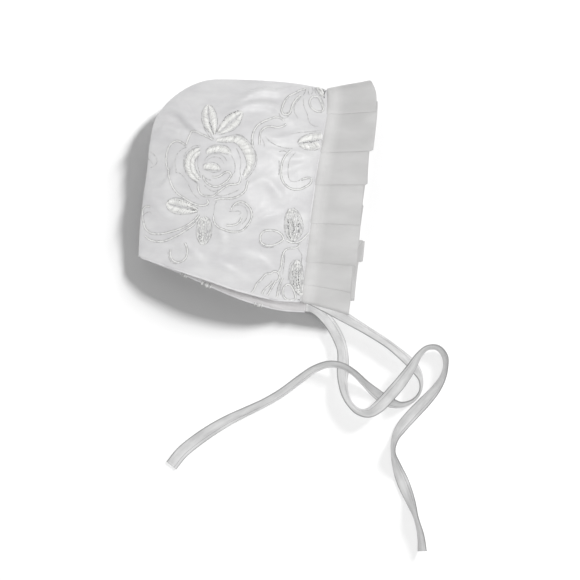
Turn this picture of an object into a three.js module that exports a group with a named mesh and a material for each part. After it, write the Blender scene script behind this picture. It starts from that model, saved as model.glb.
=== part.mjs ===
// A baby's christening bonnet of white satin, lying on its left side on a table.
// Two side panels meet in a curved seam over the crown and down to the nape. A lining follows each of them.
// A narrow band edges the face opening and carries a ruffle of pleated organza, and two ties start at its ends.
// Millimetres. +X runs from the back of the head to the face opening, +Y to the crown, +Z up from the table.
import * as THREE from 'three';

// Cloth thicknesses and the gaps between the pieces.
const CLOTH = 1.0;
const LINING = 1.0;
const PLY_GAP = 0.3;
const SEAM_GAP = 0.4;
const JOIN_GAP = 0.3;
const WALL = CLOTH + PLY_GAP + LINING;

// The outline of one side seen from above, as points on smooth curves.
// The centre seam runs from the top of the face opening over the crown and down the back to the nape.
const CENTRE_SEAM = [
  [49, 75.5], [28, 79.3], [5, 81.5], [-20, 82.4], [-35, 81.9], [-46, 78.4], [-57, 71.8], [-66, 63.4],
  [-72.4, 53], [-76, 37], [-78, 18], [-80.6, 0], [-83, -22], [-84, -41.3],
];
const RIGHT_FACE_EDGE = [
  [49, 75.5], [48, 61], [45.2, 42], [41.2, 20], [37.8, -5], [34.5, -33], [31.6, -59], [30, -73],
];
const LEFT_FACE_EDGE = [
  [49, 75.5], [48, 61], [45.4, 42], [42, 20], [39.2, -5], [36.8, -33], [34.6, -59], [33.5, -80],
];
const RIGHT_NECK_EDGE = [
  [30, -73], [13, -72], [-4, -68.2], [-20, -63.6], [-38, -57.2], [-58, -50.6], [-84, -41.3],
];
const LEFT_NECK_EDGE = [
  [33.5, -80], [17, -78.8], [2, -75.6], [-14, -70.4], [-33, -62.4], [-54, -53], [-84, -41.3],
];

// Heights above the table along the centre seam, and on the upper side along its face edge.
// at: share of the seam or of the face edge, counted from the top of the face opening.
// edge: height of the face edge.
// fullness: how far the cloth stands over a straight line from the face edge to the seam.
const SEAM_HEIGHTS = [
  { at: 0, height: 12 },
  { at: 0.2, height: 14.5 },
  { at: 0.5, height: 15 },
  { at: 0.75, height: 12.5 },
  { at: 1, height: 9 },
];
const RIGHT_SIDE_HEIGHTS = [
  { at: 0, edge: 12.2, fullness: 0 },
  { at: 0.05, edge: 19, fullness: 1.5 },
  { at: 0.13, edge: 25.5, fullness: 6 },
  { at: 0.28, edge: 31.6, fullness: 13 },
  { at: 0.45, edge: 34.6, fullness: 17.5 },
  { at: 0.62, edge: 33.4, fullness: 19 },
  { at: 0.78, edge: 28, fullness: 18 },
  { at: 0.9, edge: 21.2, fullness: 15.5 },
  { at: 1, edge: 16, fullness: 12 },
];
const FULLNESS_LEAN = 0.8; // below 1 the fullest place leans towards the centre seam
const FULLNESS_ROUNDNESS = 0.72; // below 1 the cloth rises steeply from the seam and is flatter on top
const SEAM_ROUNDING = 1.6; // over how many wall thicknesses the cloth turns at the centre seam
const TABLE_ROUNDING = 15; // how far from the seam the resting side has come down to the table
const EDGE_LIFT = 1.3; // the resting side rises this much at its face edge, over the thickness of the ruffle
const EDGE_LIFT_WIDTH = 16;

// Main soft folds of the upper side: where they lie, which way they run, and how deep they are.
const FOLDS = [
  { x: -50, y: 60, turn: 35, length: 22, width: 6, depth: 1.3 },
  { x: -12, y: 62, turn: -12, length: 26, width: 7, depth: 1.1 },
  { x: 18, y: 28, turn: -28, length: 24, width: 6, depth: 1.2 },
  { x: 4, y: -40, turn: 48, length: 24, width: 7, depth: 1.2 },
  { x: -62, y: -20, turn: 74, length: 20, width: 6, depth: 1.0 },
  { x: -30, y: -46, turn: 20, length: 18, width: 6, depth: 0.9 },
];
const FOLD_MARGIN = 0.2; // the folds fade out this far from the seam, the face edge and the top, as a share

// How finely the cloth is divided, and how much closer the lines lie at the centre seam and at the top.
const DEPTH_STEPS = 17;
const DROP_STEPS = 18;
const SEAM_CROWDING = 1.45;
const TOP_CROWDING = 1.15;
const TOP_START = 0.012; // the sides start this share of the way down from the point of the face opening

// The band along the face edge.
const BAND_WIDTH = 4.5;
const BAND_THICKNESS = 1.4;
const BAND_STEPS = 52;
const CROWN_CROWDING = 1.5; // how much closer the steps lie where the face edge turns at the crown seam
const LEFT_BAND_DROP = 144.6; // how far below the crown the band and the ruffle end on the left side
const EDGE_SHARES = [1, 0.88, 0.75, 0.62, 0.5, 0.38, 0.27, 0.18, 0.11, 0.06, 0.03]; // points of the band's path

// The ruffle. Each row is one pleat, from the fold before it to its own fold, which lies over the next pleat.
// side and fold: which half of the face edge it is on, and how far the fold is from the crown seam.
// hem: how far the cloth reaches from the band at the start and at the fold.
const PLEAT_PLY = 1.0;
const PLEAT_LIFT = 3.3; // how high a fold stands over the start of its pleat
const PLEAT_STEP = 1.2; // from ply to ply
const PLEATS = [
  { side: 'left', fold: 115, start: 29, end: 30, under: 2.5 },
  { side: 'left', fold: 104, start: 33, end: 33.2, under: 3 },
  { side: 'left', fold: 80, start: 28.6, end: 30.2, under: 7 },
  { side: 'left', fold: 53, start: 29, end: 30.6, under: 7 },
  { side: 'left', fold: 24, start: 29.5, end: 30.2, under: 7 },
  { side: 'right', fold: 16.5, start: 27, end: 30.6, under: 6 },
  { side: 'right', fold: 43, start: 30.9, end: 32.6, under: 8 },
  { side: 'right', fold: 65.5, start: 29.2, end: 32.2, under: 8 },
  { side: 'right', fold: 92, start: 29.8, end: 31, under: 8 },
  { side: 'right', fold: 118.5, start: 30.8, end: 31.4, under: 8 },
  { side: 'right', fold: 134, start: 28.8, end: 29.4, under: 6 },
  { side: 'right', fold: 147.5, start: 29.4, end: 30.4, under: 0 },
];
const PLEAT_SPACING = 5.2; // the longest straight step along a pleat
const HEM_STEPS = 3;
const HEM_DROOP = 3.5; // how far the upper half hangs at its hem
const DROOP_SHARES = [0.53, 0.62]; // where along the face edge the hem starts to hang, and hangs fully
const CROWN_PUFF = 1.8; // how far the ruffle stands out where it turns at the crown
const CROWN_PUFF_SHARE = 0.035;
// The way the ruffle points along the face edge, from the left corner over the crown seam to the right one.
const FAN = [
  { at: -1, x: 0.995, y: -0.08 },
  { at: -0.5, x: 1, y: 0 },
  { at: -0.15, x: 0.99, y: 0.08 },
  { at: 0, x: 0.98, y: 0.19 },
  { at: 0.15, x: 0.995, y: 0.06 },
  { at: 0.5, x: 1, y: 0 },
  { at: 0.85, x: 0.985, y: -0.1 },
  { at: 1, x: 0.957, y: -0.28 },
];

// The ties, flat folded satin. Each row is a point of the route: its place, how high its lower edge is,
// and how far the tie is rolled from lying flat, in degrees.
const TIE_WIDTH = 8.8;
const TIE_THICKNESS = 1.2;
const TIE_STEPS = 64;
const TABLE_GAP = 0.05;
const RIGHT_TIE = [
  { x: 32, y: -69, low: 12.6, roll: 0 },
  { x: 37, y: -71, low: 10.8, roll: 0 },
  { x: 43, y: -74, low: 8.8, roll: 6 },
  { x: 52.4, y: -79.2, low: 5.6, roll: 20 },
  { x: 64.7, y: -86.5, low: 1.6, roll: 38 },
  { x: 76.8, y: -93.8, low: 0, roll: 50 },
  { x: 91.6, y: -103.3, low: 0, roll: 52 },
  { x: 104.3, y: -113.9, low: 0, roll: 42 },
  { x: 110.2, y: -120.3, low: 0, roll: 44 },
  { x: 114, y: -128, low: 0.6, roll: 70 },
  { x: 113.4, y: -136, low: 1.6, roll: 80 },
  { x: 108.4, y: -142.4, low: 2, roll: 76 },
  { x: 100, y: -145.4, low: 1, roll: 62 },
  { x: 91.4, y: -143.2, low: 0, roll: 34 },
  { x: 83, y: -137.6, low: 0, roll: 36 },
  { x: 75, y: -130.4, low: 0.8, roll: 56 },
  { x: 66.8, y: -122.6, low: 3.4, roll: 62 },
  { x: 58.4, y: -117.8, low: 5, roll: 60 },
  { x: 49.2, y: -116.9, low: 3.6, roll: 58 },
  { x: 39.2, y: -120.4, low: 0.8, roll: 54 },
  { x: 28.5, y: -127.9, low: 0, roll: 48 },
  { x: 16.5, y: -136.8, low: 0, roll: 48 },
  { x: 4.5, y: -143.8, low: 0, roll: 48 },
  { x: -8, y: -149.8, low: 0, roll: 42 },
  { x: -20, y: -155.6, low: 0, roll: 32 },
  { x: -32, y: -162.6, low: 0, roll: 18 },
  { x: -44, y: -170.9, low: 0, roll: 6 },
  { x: -53.5, y: -178.8, low: 0, roll: 0 },
  { x: -61, y: -188, low: 0, roll: 0 },
];
const LEFT_TIE = [
  { x: 34.6, y: -76.2, low: 1.7, roll: 0 },
  { x: 37.6, y: -76.6, low: 1.6, roll: 3 },
  { x: 42.4, y: -79.6, low: 0.8, roll: 14 },
  { x: 47.4, y: -84.8, low: 0.2, roll: 22 },
  { x: 52, y: -91, low: 0, roll: 25 },
  { x: 56.2, y: -98.8, low: 0, roll: 25 },
  { x: 58.8, y: -106.4, low: 0, roll: 32 },
  { x: 59.5, y: -114, low: 0, roll: 24 },
  { x: 59.3, y: -121, low: 0, roll: 20 },
  { x: 59.2, y: -130, low: 0, roll: 44 },
  { x: 61, y: -138.4, low: 0, roll: 56 },
  { x: 64.6, y: -145.2, low: 0, roll: 64 },
  { x: 70.4, y: -150.2, low: 1, roll: 60 },
  { x: 77.6, y: -150.9, low: 3.6, roll: 40 },
  { x: 85.5, y: -145.6, low: 6.4, roll: 10 },
  { x: 93.5, y: -137, low: 7, roll: -4 },
  { x: 101, y: -128, low: 7.4, roll: -20 },
  { x: 107.4, y: -118.8, low: 7.8, roll: -40 },
  { x: 112.4, y: -110.6, low: 5.8, roll: -60 },
  { x: 118.6, y: -105.3, low: 2.8, roll: -68 },
  { x: 125.8, y: -105.4, low: 1, roll: -66 },
  { x: 130.8, y: -111.2, low: 0, roll: -64 },
  { x: 131.4, y: -118.8, low: 0, roll: -70 },
  { x: 129.3, y: -126.4, low: 0, roll: -62 },
  { x: 124.2, y: -134.8, low: 0, roll: -42 },
  { x: 117.2, y: -142.8, low: 0, roll: -22 },
  { x: 108.4, y: -152, low: 0, roll: -12 },
  { x: 100.6, y: -161, low: 0, roll: -26 },
  { x: 96, y: -169, low: 0, roll: -58 },
  { x: 94.6, y: -178, low: 0, roll: -72 },
  { x: 97.2, y: -188.4, low: 0, roll: -46 },
  { x: 101.6, y: -200, low: 0, roll: -14 },
  { x: 106.8, y: -213, low: 0, roll: -42 },
  { x: 111, y: -225.6, low: 0, roll: -70 },
  { x: 114, y: -237, low: 0, roll: -60 },
  { x: 115, y: -248, low: 0, roll: -46 },
];

const COLUMN_SAMPLES = 60;
const EDGE_SAMPLES = 2000;
const HALVINGS = 40;
const SMALL = 1e-3;
const UP = new THREE.Vector3(0, 0, 1);

function mix(a, b, share) {
  return a + (b - a) * share;
}

function smoothCurve(points) {
  const corners = points.map(([x, y, z = 0]) => new THREE.Vector3(x, y, z));
  return new THREE.CatmullRomCurve3(corners, false, 'centripetal');
}

// The value of a table's column at a place, on straight lines between its rows.
function columnAt(rows, key, column, place) {
  let i = 0;
  while (i < rows.length - 2 && rows[i + 1][key] < place) i += 1;
  const share = THREE.MathUtils.clamp((place - rows[i][key]) / (rows[i + 1][key] - rows[i][key]), 0, 1);
  return mix(rows[i][column], rows[i + 1][column], share);
}

// The value of a table's column at a place, on a smooth curve through its rows.
function smoothColumn(rows, column) {
  const curve = smoothCurve(rows.map((row) => [row.at, row[column]]));
  const samples = curve.getPoints(COLUMN_SAMPLES).map((p) => ({ at: p.x, value: p.y }));
  return (at) => columnAt(samples, 'at', 'value', at);
}

// A side seen from above. u runs from the face edge to the centre seam.
// v runs from the top of the face opening, where both of those edges start, to the neck edge.
function plan(faceEdge, neckEdge) {
  const seam = smoothCurve(CENTRE_SEAM);
  const face = smoothCurve(faceEdge);
  const neck = smoothCurve(neckEdge);
  const [corner, nape] = [face.getPoint(1), neck.getPoint(1)];
  return (u, v) => {
    const point = new THREE.Vector3();
    point.addScaledVector(face.getPointAt(v), 1 - u).addScaledVector(seam.getPointAt(v), u);
    point.addScaledVector(neck.getPointAt(u), v);
    return point.addScaledVector(corner, -(1 - u) * v).addScaledVector(nape, -u * v);
  };
}

const seamHeight = smoothColumn(SEAM_HEIGHTS, 'height');
const faceEdgeHeight = smoothColumn(RIGHT_SIDE_HEIGHTS, 'edge');
const fullness = smoothColumn(RIGHT_SIDE_HEIGHTS, 'fullness');

function foldDepth(x, y) {
  let depth = 0;
  for (const fold of FOLDS) {
    const turn = THREE.MathUtils.degToRad(fold.turn);
    const along = (x - fold.x) * Math.cos(turn) + (y - fold.y) * Math.sin(turn);
    const across = (y - fold.y) * Math.cos(turn) - (x - fold.x) * Math.sin(turn);
    depth += fold.depth * Math.exp(-((along / fold.length) ** 2) - (across / fold.width) ** 2);
  }
  return depth;
}

const rightPlan = plan(RIGHT_FACE_EDGE, RIGHT_NECK_EDGE);
const leftPlan = plan(LEFT_FACE_EDGE, LEFT_NECK_EDGE);

// The outside of the upper side: arched along the face edge and the neck edge, and full in the middle.
function rightSurface(u, v) {
  const point = rightPlan(u, v);
  const rise = Math.sin(Math.PI * (1 - u) ** FULLNESS_LEAN) ** FULLNESS_ROUNDNESS;
  const soft = Math.min(1, (1 - u) / FOLD_MARGIN) * Math.min(1, u / FOLD_MARGIN) * Math.min(1, v / FOLD_MARGIN);
  const seam = seamHeight(v) + SEAM_GAP / 2;
  point.z = mix(faceEdgeHeight(v), seam, u) + fullness(v) * rise - foldDepth(point.x, point.y) * soft;
  return point;
}

// The outside of the lower side: round at the seam, then flat on the table, and slightly lifted at the face edge.
function leftSurface(u, v) {
  const point = leftPlan(u, v);
  const fromSeam = point.distanceTo(leftPlan(1, v));
  const fromFace = point.distanceTo(leftPlan(0, v));
  const level = 1 - Math.sin((Math.PI / 2) * Math.min(1, fromSeam / TABLE_ROUNDING));
  const lift = EDGE_LIFT * Math.max(0, 1 - fromFace / EDGE_LIFT_WIDTH) ** 2;
  point.z = Math.max((seamHeight(v) - SEAM_GAP / 2) * level, lift);
  return point;
}

// The way into the cloth from the outside of a side. At the centre seam it lies level and square to the seam,
// so that the edges of the two sides lie flat against each other. Further in it follows the surface's normal.
function inward(side, u, v) {
  const { surface, up } = side;
  const alongU = surface(Math.min(u + SMALL, 1), v).sub(surface(Math.max(u - SMALL, 0), v));
  const alongV = surface(u, Math.min(v + SMALL, 1)).sub(surface(u, Math.max(v - SMALL, 0)));
  if (u === 1) return new THREE.Vector3(-alongV.y, alongV.x, 0).normalize();
  const normal = alongU.cross(alongV);
  if (u === 0) normal.x = 0; // the face edge is cut straight, so that the band lies flat against it
  normal.normalize();
  const overSeam = Math.abs(surface(u, v).z - seamHeight(v)) - SEAM_GAP / 2;
  const level = Math.min(Math.abs(normal.z), Math.max(0, overSeam) / (SEAM_ROUNDING * WALL));
  const flat = new THREE.Vector3(normal.x, normal.y, 0).normalize().multiplyScalar(Math.sqrt(1 - level ** 2));
  return flat.setZ(level).multiplyScalar(up ? -1 : 1);
}

// A grid of points that lies the given depth inside a side's outside.
function layer(side, depth) {
  const rows = [];
  for (let i = 0; i <= DEPTH_STEPS; i += 1) {
    const u = 1 - (1 - i / DEPTH_STEPS) ** SEAM_CROWDING;
    const row = [];
    for (let j = 0; j <= DROP_STEPS; j += 1) {
      const v = mix(TOP_START, 1, (j / DROP_STEPS) ** TOP_CROWDING);
      row.push(side.surface(u, v).addScaledVector(inward(side, u, v), depth));
    }
    rows.push(row);
  }
  return rows;
}

const RIGHT = { surface: rightSurface, up: true };
const LEFT = { surface: leftSurface, up: false };

function closedGeometry(points, triangles) {
  const geometry = new THREE.BufferGeometry();
  const numbers = points.flatMap((p) => [p.x, p.y, p.z]);
  geometry.setAttribute('position', new THREE.Float32BufferAttribute(numbers, 3));
  geometry.setIndex(triangles.flat());
  geometry.computeVertexNormals();
  return geometry;
}

// A closed ply of cloth between an upper and a lower grid of points.
function ply(above, below) {
  const rows = above.length;
  const columns = above[0].length;
  const top = (i, j) => i * columns + j;
  const bottom = (i, j) => rows * columns + i * columns + j;
  const triangles = [];
  const face = (a, b, c, d) => triangles.push([a, b, c], [a, c, d]);
  for (let i = 0; i < rows - 1; i += 1) {
    for (let j = 0; j < columns - 1; j += 1) {
      face(top(i, j), top(i + 1, j), top(i + 1, j + 1), top(i, j + 1));
      face(bottom(i, j), bottom(i, j + 1), bottom(i + 1, j + 1), bottom(i + 1, j));
    }
    face(top(i + 1, 0), top(i, 0), bottom(i, 0), bottom(i + 1, 0));
    face(top(i, columns - 1), top(i + 1, columns - 1), bottom(i + 1, columns - 1), bottom(i, columns - 1));
  }
  for (let j = 0; j < columns - 1; j += 1) {
    face(top(0, j), top(0, j + 1), bottom(0, j + 1), bottom(0, j));
    face(top(rows - 1, j + 1), top(rows - 1, j), bottom(rows - 1, j), bottom(rows - 1, j + 1));
  }
  return closedGeometry([...above.flat(), ...below.flat()], triangles);
}

// A closed strip through rings of equal numbers of points, with flat ends.
function strip(rings) {
  const sides = rings[0].length;
  const triangles = [];
  for (let i = 0; i < rings.length - 1; i += 1) {
    for (let k = 0; k < sides; k += 1) {
      const next = (k + 1) % sides;
      const [a, b] = [i * sides + k, i * sides + next];
      const [c, d] = [(i + 1) * sides + next, (i + 1) * sides + k];
      triangles.push([a, b, c], [a, c, d]);
    }
  }
  const last = (rings.length - 1) * sides;
  for (let k = 1; k < sides - 1; k += 1) {
    triangles.push([0, k + 1, k], [last, last + k, last + k + 1]);
  }
  return closedGeometry(rings.flat(), triangles);
}

// The face edge in space, down the middle of the wall, from the left corner over the crown to the right corner.
function faceEdgeCurve() {
  const middle = (side) => EDGE_SHARES.map((v) => side.surface(0, v).addScaledVector(inward(side, 0, v), WALL / 2));
  const top = rightPlan(0, 0).add(new THREE.Vector3(0, -WALL / 2, seamHeight(0)));
  const points = [...middle(LEFT), top, ...middle(RIGHT).reverse()];
  const curve = new THREE.CatmullRomCurve3(points, false, 'centripetal');
  curve.arcLengthDivisions = EDGE_SAMPLES;
  return curve;
}

const edgeCurve = faceEdgeCurve();
const EDGE_LENGTH = edgeCurve.getLength();

// Where on the face edge, as a share of its length, its left or right half lies this far below the crown.
function shareAt(side, distance) {
  const top = edgeCurve.getPoint(0.5);
  let [low, high] = side === 'left' ? [0.5, 0] : [0.5, 1];
  for (let i = 0; i < HALVINGS; i += 1) {
    const middle = (low + high) / 2;
    if (top.y - edgeCurve.getPointAt(middle).y < distance) low = middle;
    else high = middle;
  }
  return (low + high) / 2;
}

const LEFT_END = shareAt('left', LEFT_BAND_DROP);

// The frame at a share of the face edge: the point, the way the ruffle points, and the way out of the bonnet.
function edgeFrame(share) {
  const point = edgeCurve.getPointAt(share);
  const tangent = edgeCurve.getTangentAt(share);
  const at = (share - 0.5) * 2;
  const reach = new THREE.Vector3(columnAt(FAN, 'at', 'x', at), columnAt(FAN, 'at', 'y', at), 0);
  const out = new THREE.Vector3().crossVectors(tangent, reach).normalize();
  return { point, reach: reach.normalize(), out };
}

function bandGeometry() {
  const rings = [];
  for (let i = 0; i <= BAND_STEPS; i += 1) {
    const turn = mix(-1, 1, i / BAND_STEPS);
    const share = 0.5 + Math.sign(turn) * Math.abs(turn) ** CROWN_CROWDING * (turn < 0 ? 0.5 - LEFT_END : 0.5);
    const { point, reach, out } = edgeFrame(share);
    const corner = (across, thick) => point.clone().addScaledVector(reach, across).addScaledVector(out, thick);
    const [near, far] = [JOIN_GAP, JOIN_GAP + BAND_WIDTH];
    const half = BAND_THICKNESS / 2;
    rings.push([corner(near, half), corner(near, -half), corner(far, -half), corner(far, half)]);
  }
  return strip(rings);
}

// The pleated section: corners along the face edge, each with its height over it and the hem's reach there.
function pleatCorners() {
  const corners = [];
  let from = LEFT_END;
  PLEATS.forEach((pleat, i) => {
    const next = PLEATS[i + 1];
    const fold = next ? shareAt(pleat.side, pleat.fold) : 1;
    const steps = Math.ceil(((fold - from) * EDGE_LENGTH) / PLEAT_SPACING);
    for (let k = 0; k <= steps; k += 1) {
      const along = k / steps;
      const hem = mix(pleat.start, pleat.end, along);
      corners.push({ share: mix(from, fold, along), height: PLEAT_LIFT * along, hem });
    }
    if (!next) return;
    const back = fold - pleat.under / EDGE_LENGTH;
    const [hemAtFold, hemAtBack] = [1 / 3, 2 / 3].map((along) => mix(pleat.end, next.start, along));
    corners.push({ share: fold, height: PLEAT_LIFT - PLEAT_STEP, hem: hemAtFold });
    corners.push({ share: back, height: PLEAT_LIFT - 2 * PLEAT_STEP, hem: hemAtBack });
    from = back;
  });
  return corners;
}

// The section's two sides, half a ply to each side of the corners.
function pleatSides(corners) {
  const flat = corners.map((c) => new THREE.Vector2(c.share * EDGE_LENGTH, c.height - PLEAT_LIFT / 2));
  return flat.map((here, i) => {
    const before = i > 0 ? here.clone().sub(flat[i - 1]).normalize() : null;
    const after = i < flat.length - 1 ? flat[i + 1].clone().sub(here).normalize() : null;
    const [a, b] = [before ?? after, after ?? before];
    const normal = new THREE.Vector2(-a.y - b.y, a.x + b.x).normalize();
    const half = PLEAT_PLY / 2 / Math.max(0.5, normal.dot(new THREE.Vector2(-a.y, a.x)));
    return { here, offset: normal.multiplyScalar(half) };
  });
}

function ruffleGeometry() {
  const corners = pleatCorners();
  const sides = pleatSides(corners);
  const grid = (sign) => sides.map(({ here, offset }, i) => {
    const place = here.clone().addScaledVector(offset, sign);
    const share = THREE.MathUtils.clamp(place.x / EDGE_LENGTH, LEFT_END, 1);
    const { point, reach, out } = edgeFrame(share);
    const droop = HEM_DROOP * THREE.MathUtils.smoothstep(share, ...DROOP_SHARES);
    const puff = CROWN_PUFF * Math.exp(-(((share - 0.5) / CROWN_PUFF_SHARE) ** 2));
    const row = [];
    for (let k = 0; k <= HEM_STEPS; k += 1) {
      const along = k / HEM_STEPS;
      const from = JOIN_GAP * 2 + BAND_WIDTH;
      const at = point.clone().addScaledVector(reach, mix(from, from + corners[i].hem, along));
      at.addScaledVector(out, place.y + puff);
      at.z -= droop * along ** 2;
      row.push(at);
    }
    return row;
  });
  return ply(grid(1), grid(-1));
}

function tieGeometry(rows) {
  const route = smoothCurve(rows.map((r) => [r.x, r.y]));
  const lows = smoothCurve(rows.map((r, i) => [i, r.low]));
  const rolls = smoothCurve(rows.map((r, i) => [i, r.roll]));
  const centre = (t) => {
    const point = route.getPoint(t);
    const roll = THREE.MathUtils.degToRad(rolls.getPoint(t).y);
    const half = Math.abs(Math.sin(roll)) * TIE_WIDTH / 2 + Math.cos(roll) * TIE_THICKNESS / 2;
    point.z = Math.max(0, lows.getPoint(t).y) + half + TABLE_GAP;
    return { point, roll };
  };
  const rings = [];
  for (let i = 0; i <= TIE_STEPS; i += 1) {
    const t = i / TIE_STEPS;
    const { point, roll } = centre(t);
    const tangent = route.getTangent(t);
    const side = new THREE.Vector3(tangent.y, -tangent.x, 0).normalize();
    const width = side.clone().multiplyScalar(Math.cos(roll)).addScaledVector(UP, Math.sin(roll));
    const thick = UP.clone().multiplyScalar(Math.cos(roll)).addScaledVector(side, -Math.sin(roll));
    const corner = (w, h) => point.clone().addScaledVector(width, w).addScaledVector(thick, h);
    const [w, h] = [TIE_WIDTH / 2, TIE_THICKNESS / 2];
    const flat = w - h;
    const below = [corner(flat, -h), corner(-flat, -h)];
    const above = [corner(-flat, h), corner(flat, h)];
    rings.push([corner(w, 0), ...below, corner(-w, 0), ...above]);
  }
  return strip(rings);
}

function cloth(color, roughness) {
  return new THREE.MeshStandardMaterial({ color, roughness, metalness: 0 });
}

const SATIN = cloth(0xe4e4e6, 0.42);
const LINING_SATIN = cloth(0xdcdadb, 0.5);
const ORGANZA = cloth(0xd0d0ce, 0.6);
const TIE_SATIN = cloth(0xcfcfcf, 0.4);

const bonnet = new THREE.Group();

function add(name, geometry, material) {
  const mesh = new THREE.Mesh(geometry, material);
  mesh.name = name;
  bonnet.add(mesh);
}

const INSIDE = CLOTH + PLY_GAP;
add('side_panel_right', ply(layer(RIGHT, 0), layer(RIGHT, CLOTH)), SATIN);
add('lining_right', ply(layer(RIGHT, INSIDE), layer(RIGHT, WALL)), LINING_SATIN);
add('side_panel_left', ply(layer(LEFT, CLOTH), layer(LEFT, 0)), SATIN);
add('lining_left', ply(layer(LEFT, WALL), layer(LEFT, INSIDE)), LINING_SATIN);
add('face_band', bandGeometry(), SATIN);
add('ruffle', ruffleGeometry(), ORGANZA);
add('tie_right', tieGeometry(RIGHT_TIE), TIE_SATIN);
add('tie_left', tieGeometry(LEFT_TIE), TIE_SATIN);

export default bonnet;
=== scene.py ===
import bpy
import numpy as np
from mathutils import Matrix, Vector
from mathutils.bvhtree import BVHTree


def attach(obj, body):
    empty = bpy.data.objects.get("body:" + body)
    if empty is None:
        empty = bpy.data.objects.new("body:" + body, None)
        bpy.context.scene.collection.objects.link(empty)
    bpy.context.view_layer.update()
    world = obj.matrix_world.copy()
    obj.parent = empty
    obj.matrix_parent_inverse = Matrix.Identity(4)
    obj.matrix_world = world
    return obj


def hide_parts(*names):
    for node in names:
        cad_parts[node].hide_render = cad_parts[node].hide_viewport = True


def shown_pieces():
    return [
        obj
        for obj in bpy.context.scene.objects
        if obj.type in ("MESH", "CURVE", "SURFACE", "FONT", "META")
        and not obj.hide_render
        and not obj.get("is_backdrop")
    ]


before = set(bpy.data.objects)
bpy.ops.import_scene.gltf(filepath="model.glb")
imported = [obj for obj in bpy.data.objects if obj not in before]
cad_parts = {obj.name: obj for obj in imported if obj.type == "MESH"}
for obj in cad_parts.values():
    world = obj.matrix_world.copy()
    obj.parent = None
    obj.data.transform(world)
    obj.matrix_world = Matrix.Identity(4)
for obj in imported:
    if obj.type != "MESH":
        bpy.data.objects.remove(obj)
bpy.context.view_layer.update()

MM = 0.001
UP = np.array([0.0, 0.0, 1.0])

# The camera looks straight down. The picture is square.
VIEW_WIDTH = 406.0
VIEW_CENTRE = (22.26, -64.89)
CAMERA_HEIGHT = 4010.0
PICTURE_PLANE = 10.0  # the height at which the picture is VIEW_WIDTH wide

# Cloth thicknesses and gaps of the solids.
CLOTH = 1.0
LINING = 1.0
PLY_GAP = 0.3
SEAM_GAP = 0.4
JOIN_GAP = 0.3
WALL = CLOTH + PLY_GAP + LINING

# The outline of one side seen from above.
CENTRE_SEAM = [
    (49, 75.5), (28, 79.3), (5, 81.5), (-20, 82.4), (-35, 81.9), (-46, 78.4), (-57, 71.8), (-66, 63.4),
    (-72.4, 53), (-76, 37), (-78, 18), (-80.6, 0), (-83, -22), (-84, -41.3),
]
RIGHT_FACE_EDGE = [
    (49, 75.5), (48, 61), (45.2, 42), (41.2, 20), (37.8, -5), (34.5, -33), (31.6, -59), (30, -73),
]
LEFT_FACE_EDGE = [
    (49, 75.5), (48, 61), (45.4, 42), (42, 20), (39.2, -5), (36.8, -33), (34.6, -59), (33.5, -80),
]
RIGHT_NECK_EDGE = [
    (30, -73), (13, -72), (-4, -68.2), (-20, -63.6), (-38, -57.2), (-58, -50.6), (-84, -41.3),
]
LEFT_NECK_EDGE = [
    (33.5, -80), (17, -78.8), (2, -75.6), (-14, -70.4), (-33, -62.4), (-54, -53), (-84, -41.3),
]

# Heights along the centre seam and on the upper side. at is the share of the edge, from the top.
SEAM_HEIGHTS = [  # at, height
    (0, 12), (0.2, 14.5), (0.5, 15), (0.75, 12.5), (1, 9),
]
RIGHT_SIDE_HEIGHTS = [  # at, height of the face edge, fullness of the cloth over a straight line
    (0, 12.2, 0), (0.05, 19, 1.5), (0.13, 25.5, 6), (0.28, 31.6, 13), (0.45, 34.6, 17.5),
    (0.62, 33.4, 19), (0.78, 28, 18), (0.9, 21.2, 15.5), (1, 16, 12),
]
FULLNESS_LEAN = 0.8
FULLNESS_ROUNDNESS = 0.72
SEAM_ROUNDING = 1.6
TABLE_ROUNDING = 15
EDGE_LIFT = 1.3
EDGE_LIFT_WIDTH = 16
TOP_START = 0.012

# Main soft folds of the upper side.
FOLDS = [  # x, y, turn in degrees, length, width, depth
    (-50, 60, 35, 22, 6, 1.3), (-12, 62, -12, 26, 7, 1.1), (18, 28, -28, 24, 6, 1.2),
    (4, -40, 48, 24, 7, 1.2), (-62, -20, 74, 20, 6, 1.0), (-30, -46, 20, 18, 6, 0.9),
]
FOLD_MARGIN = 0.2

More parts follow.
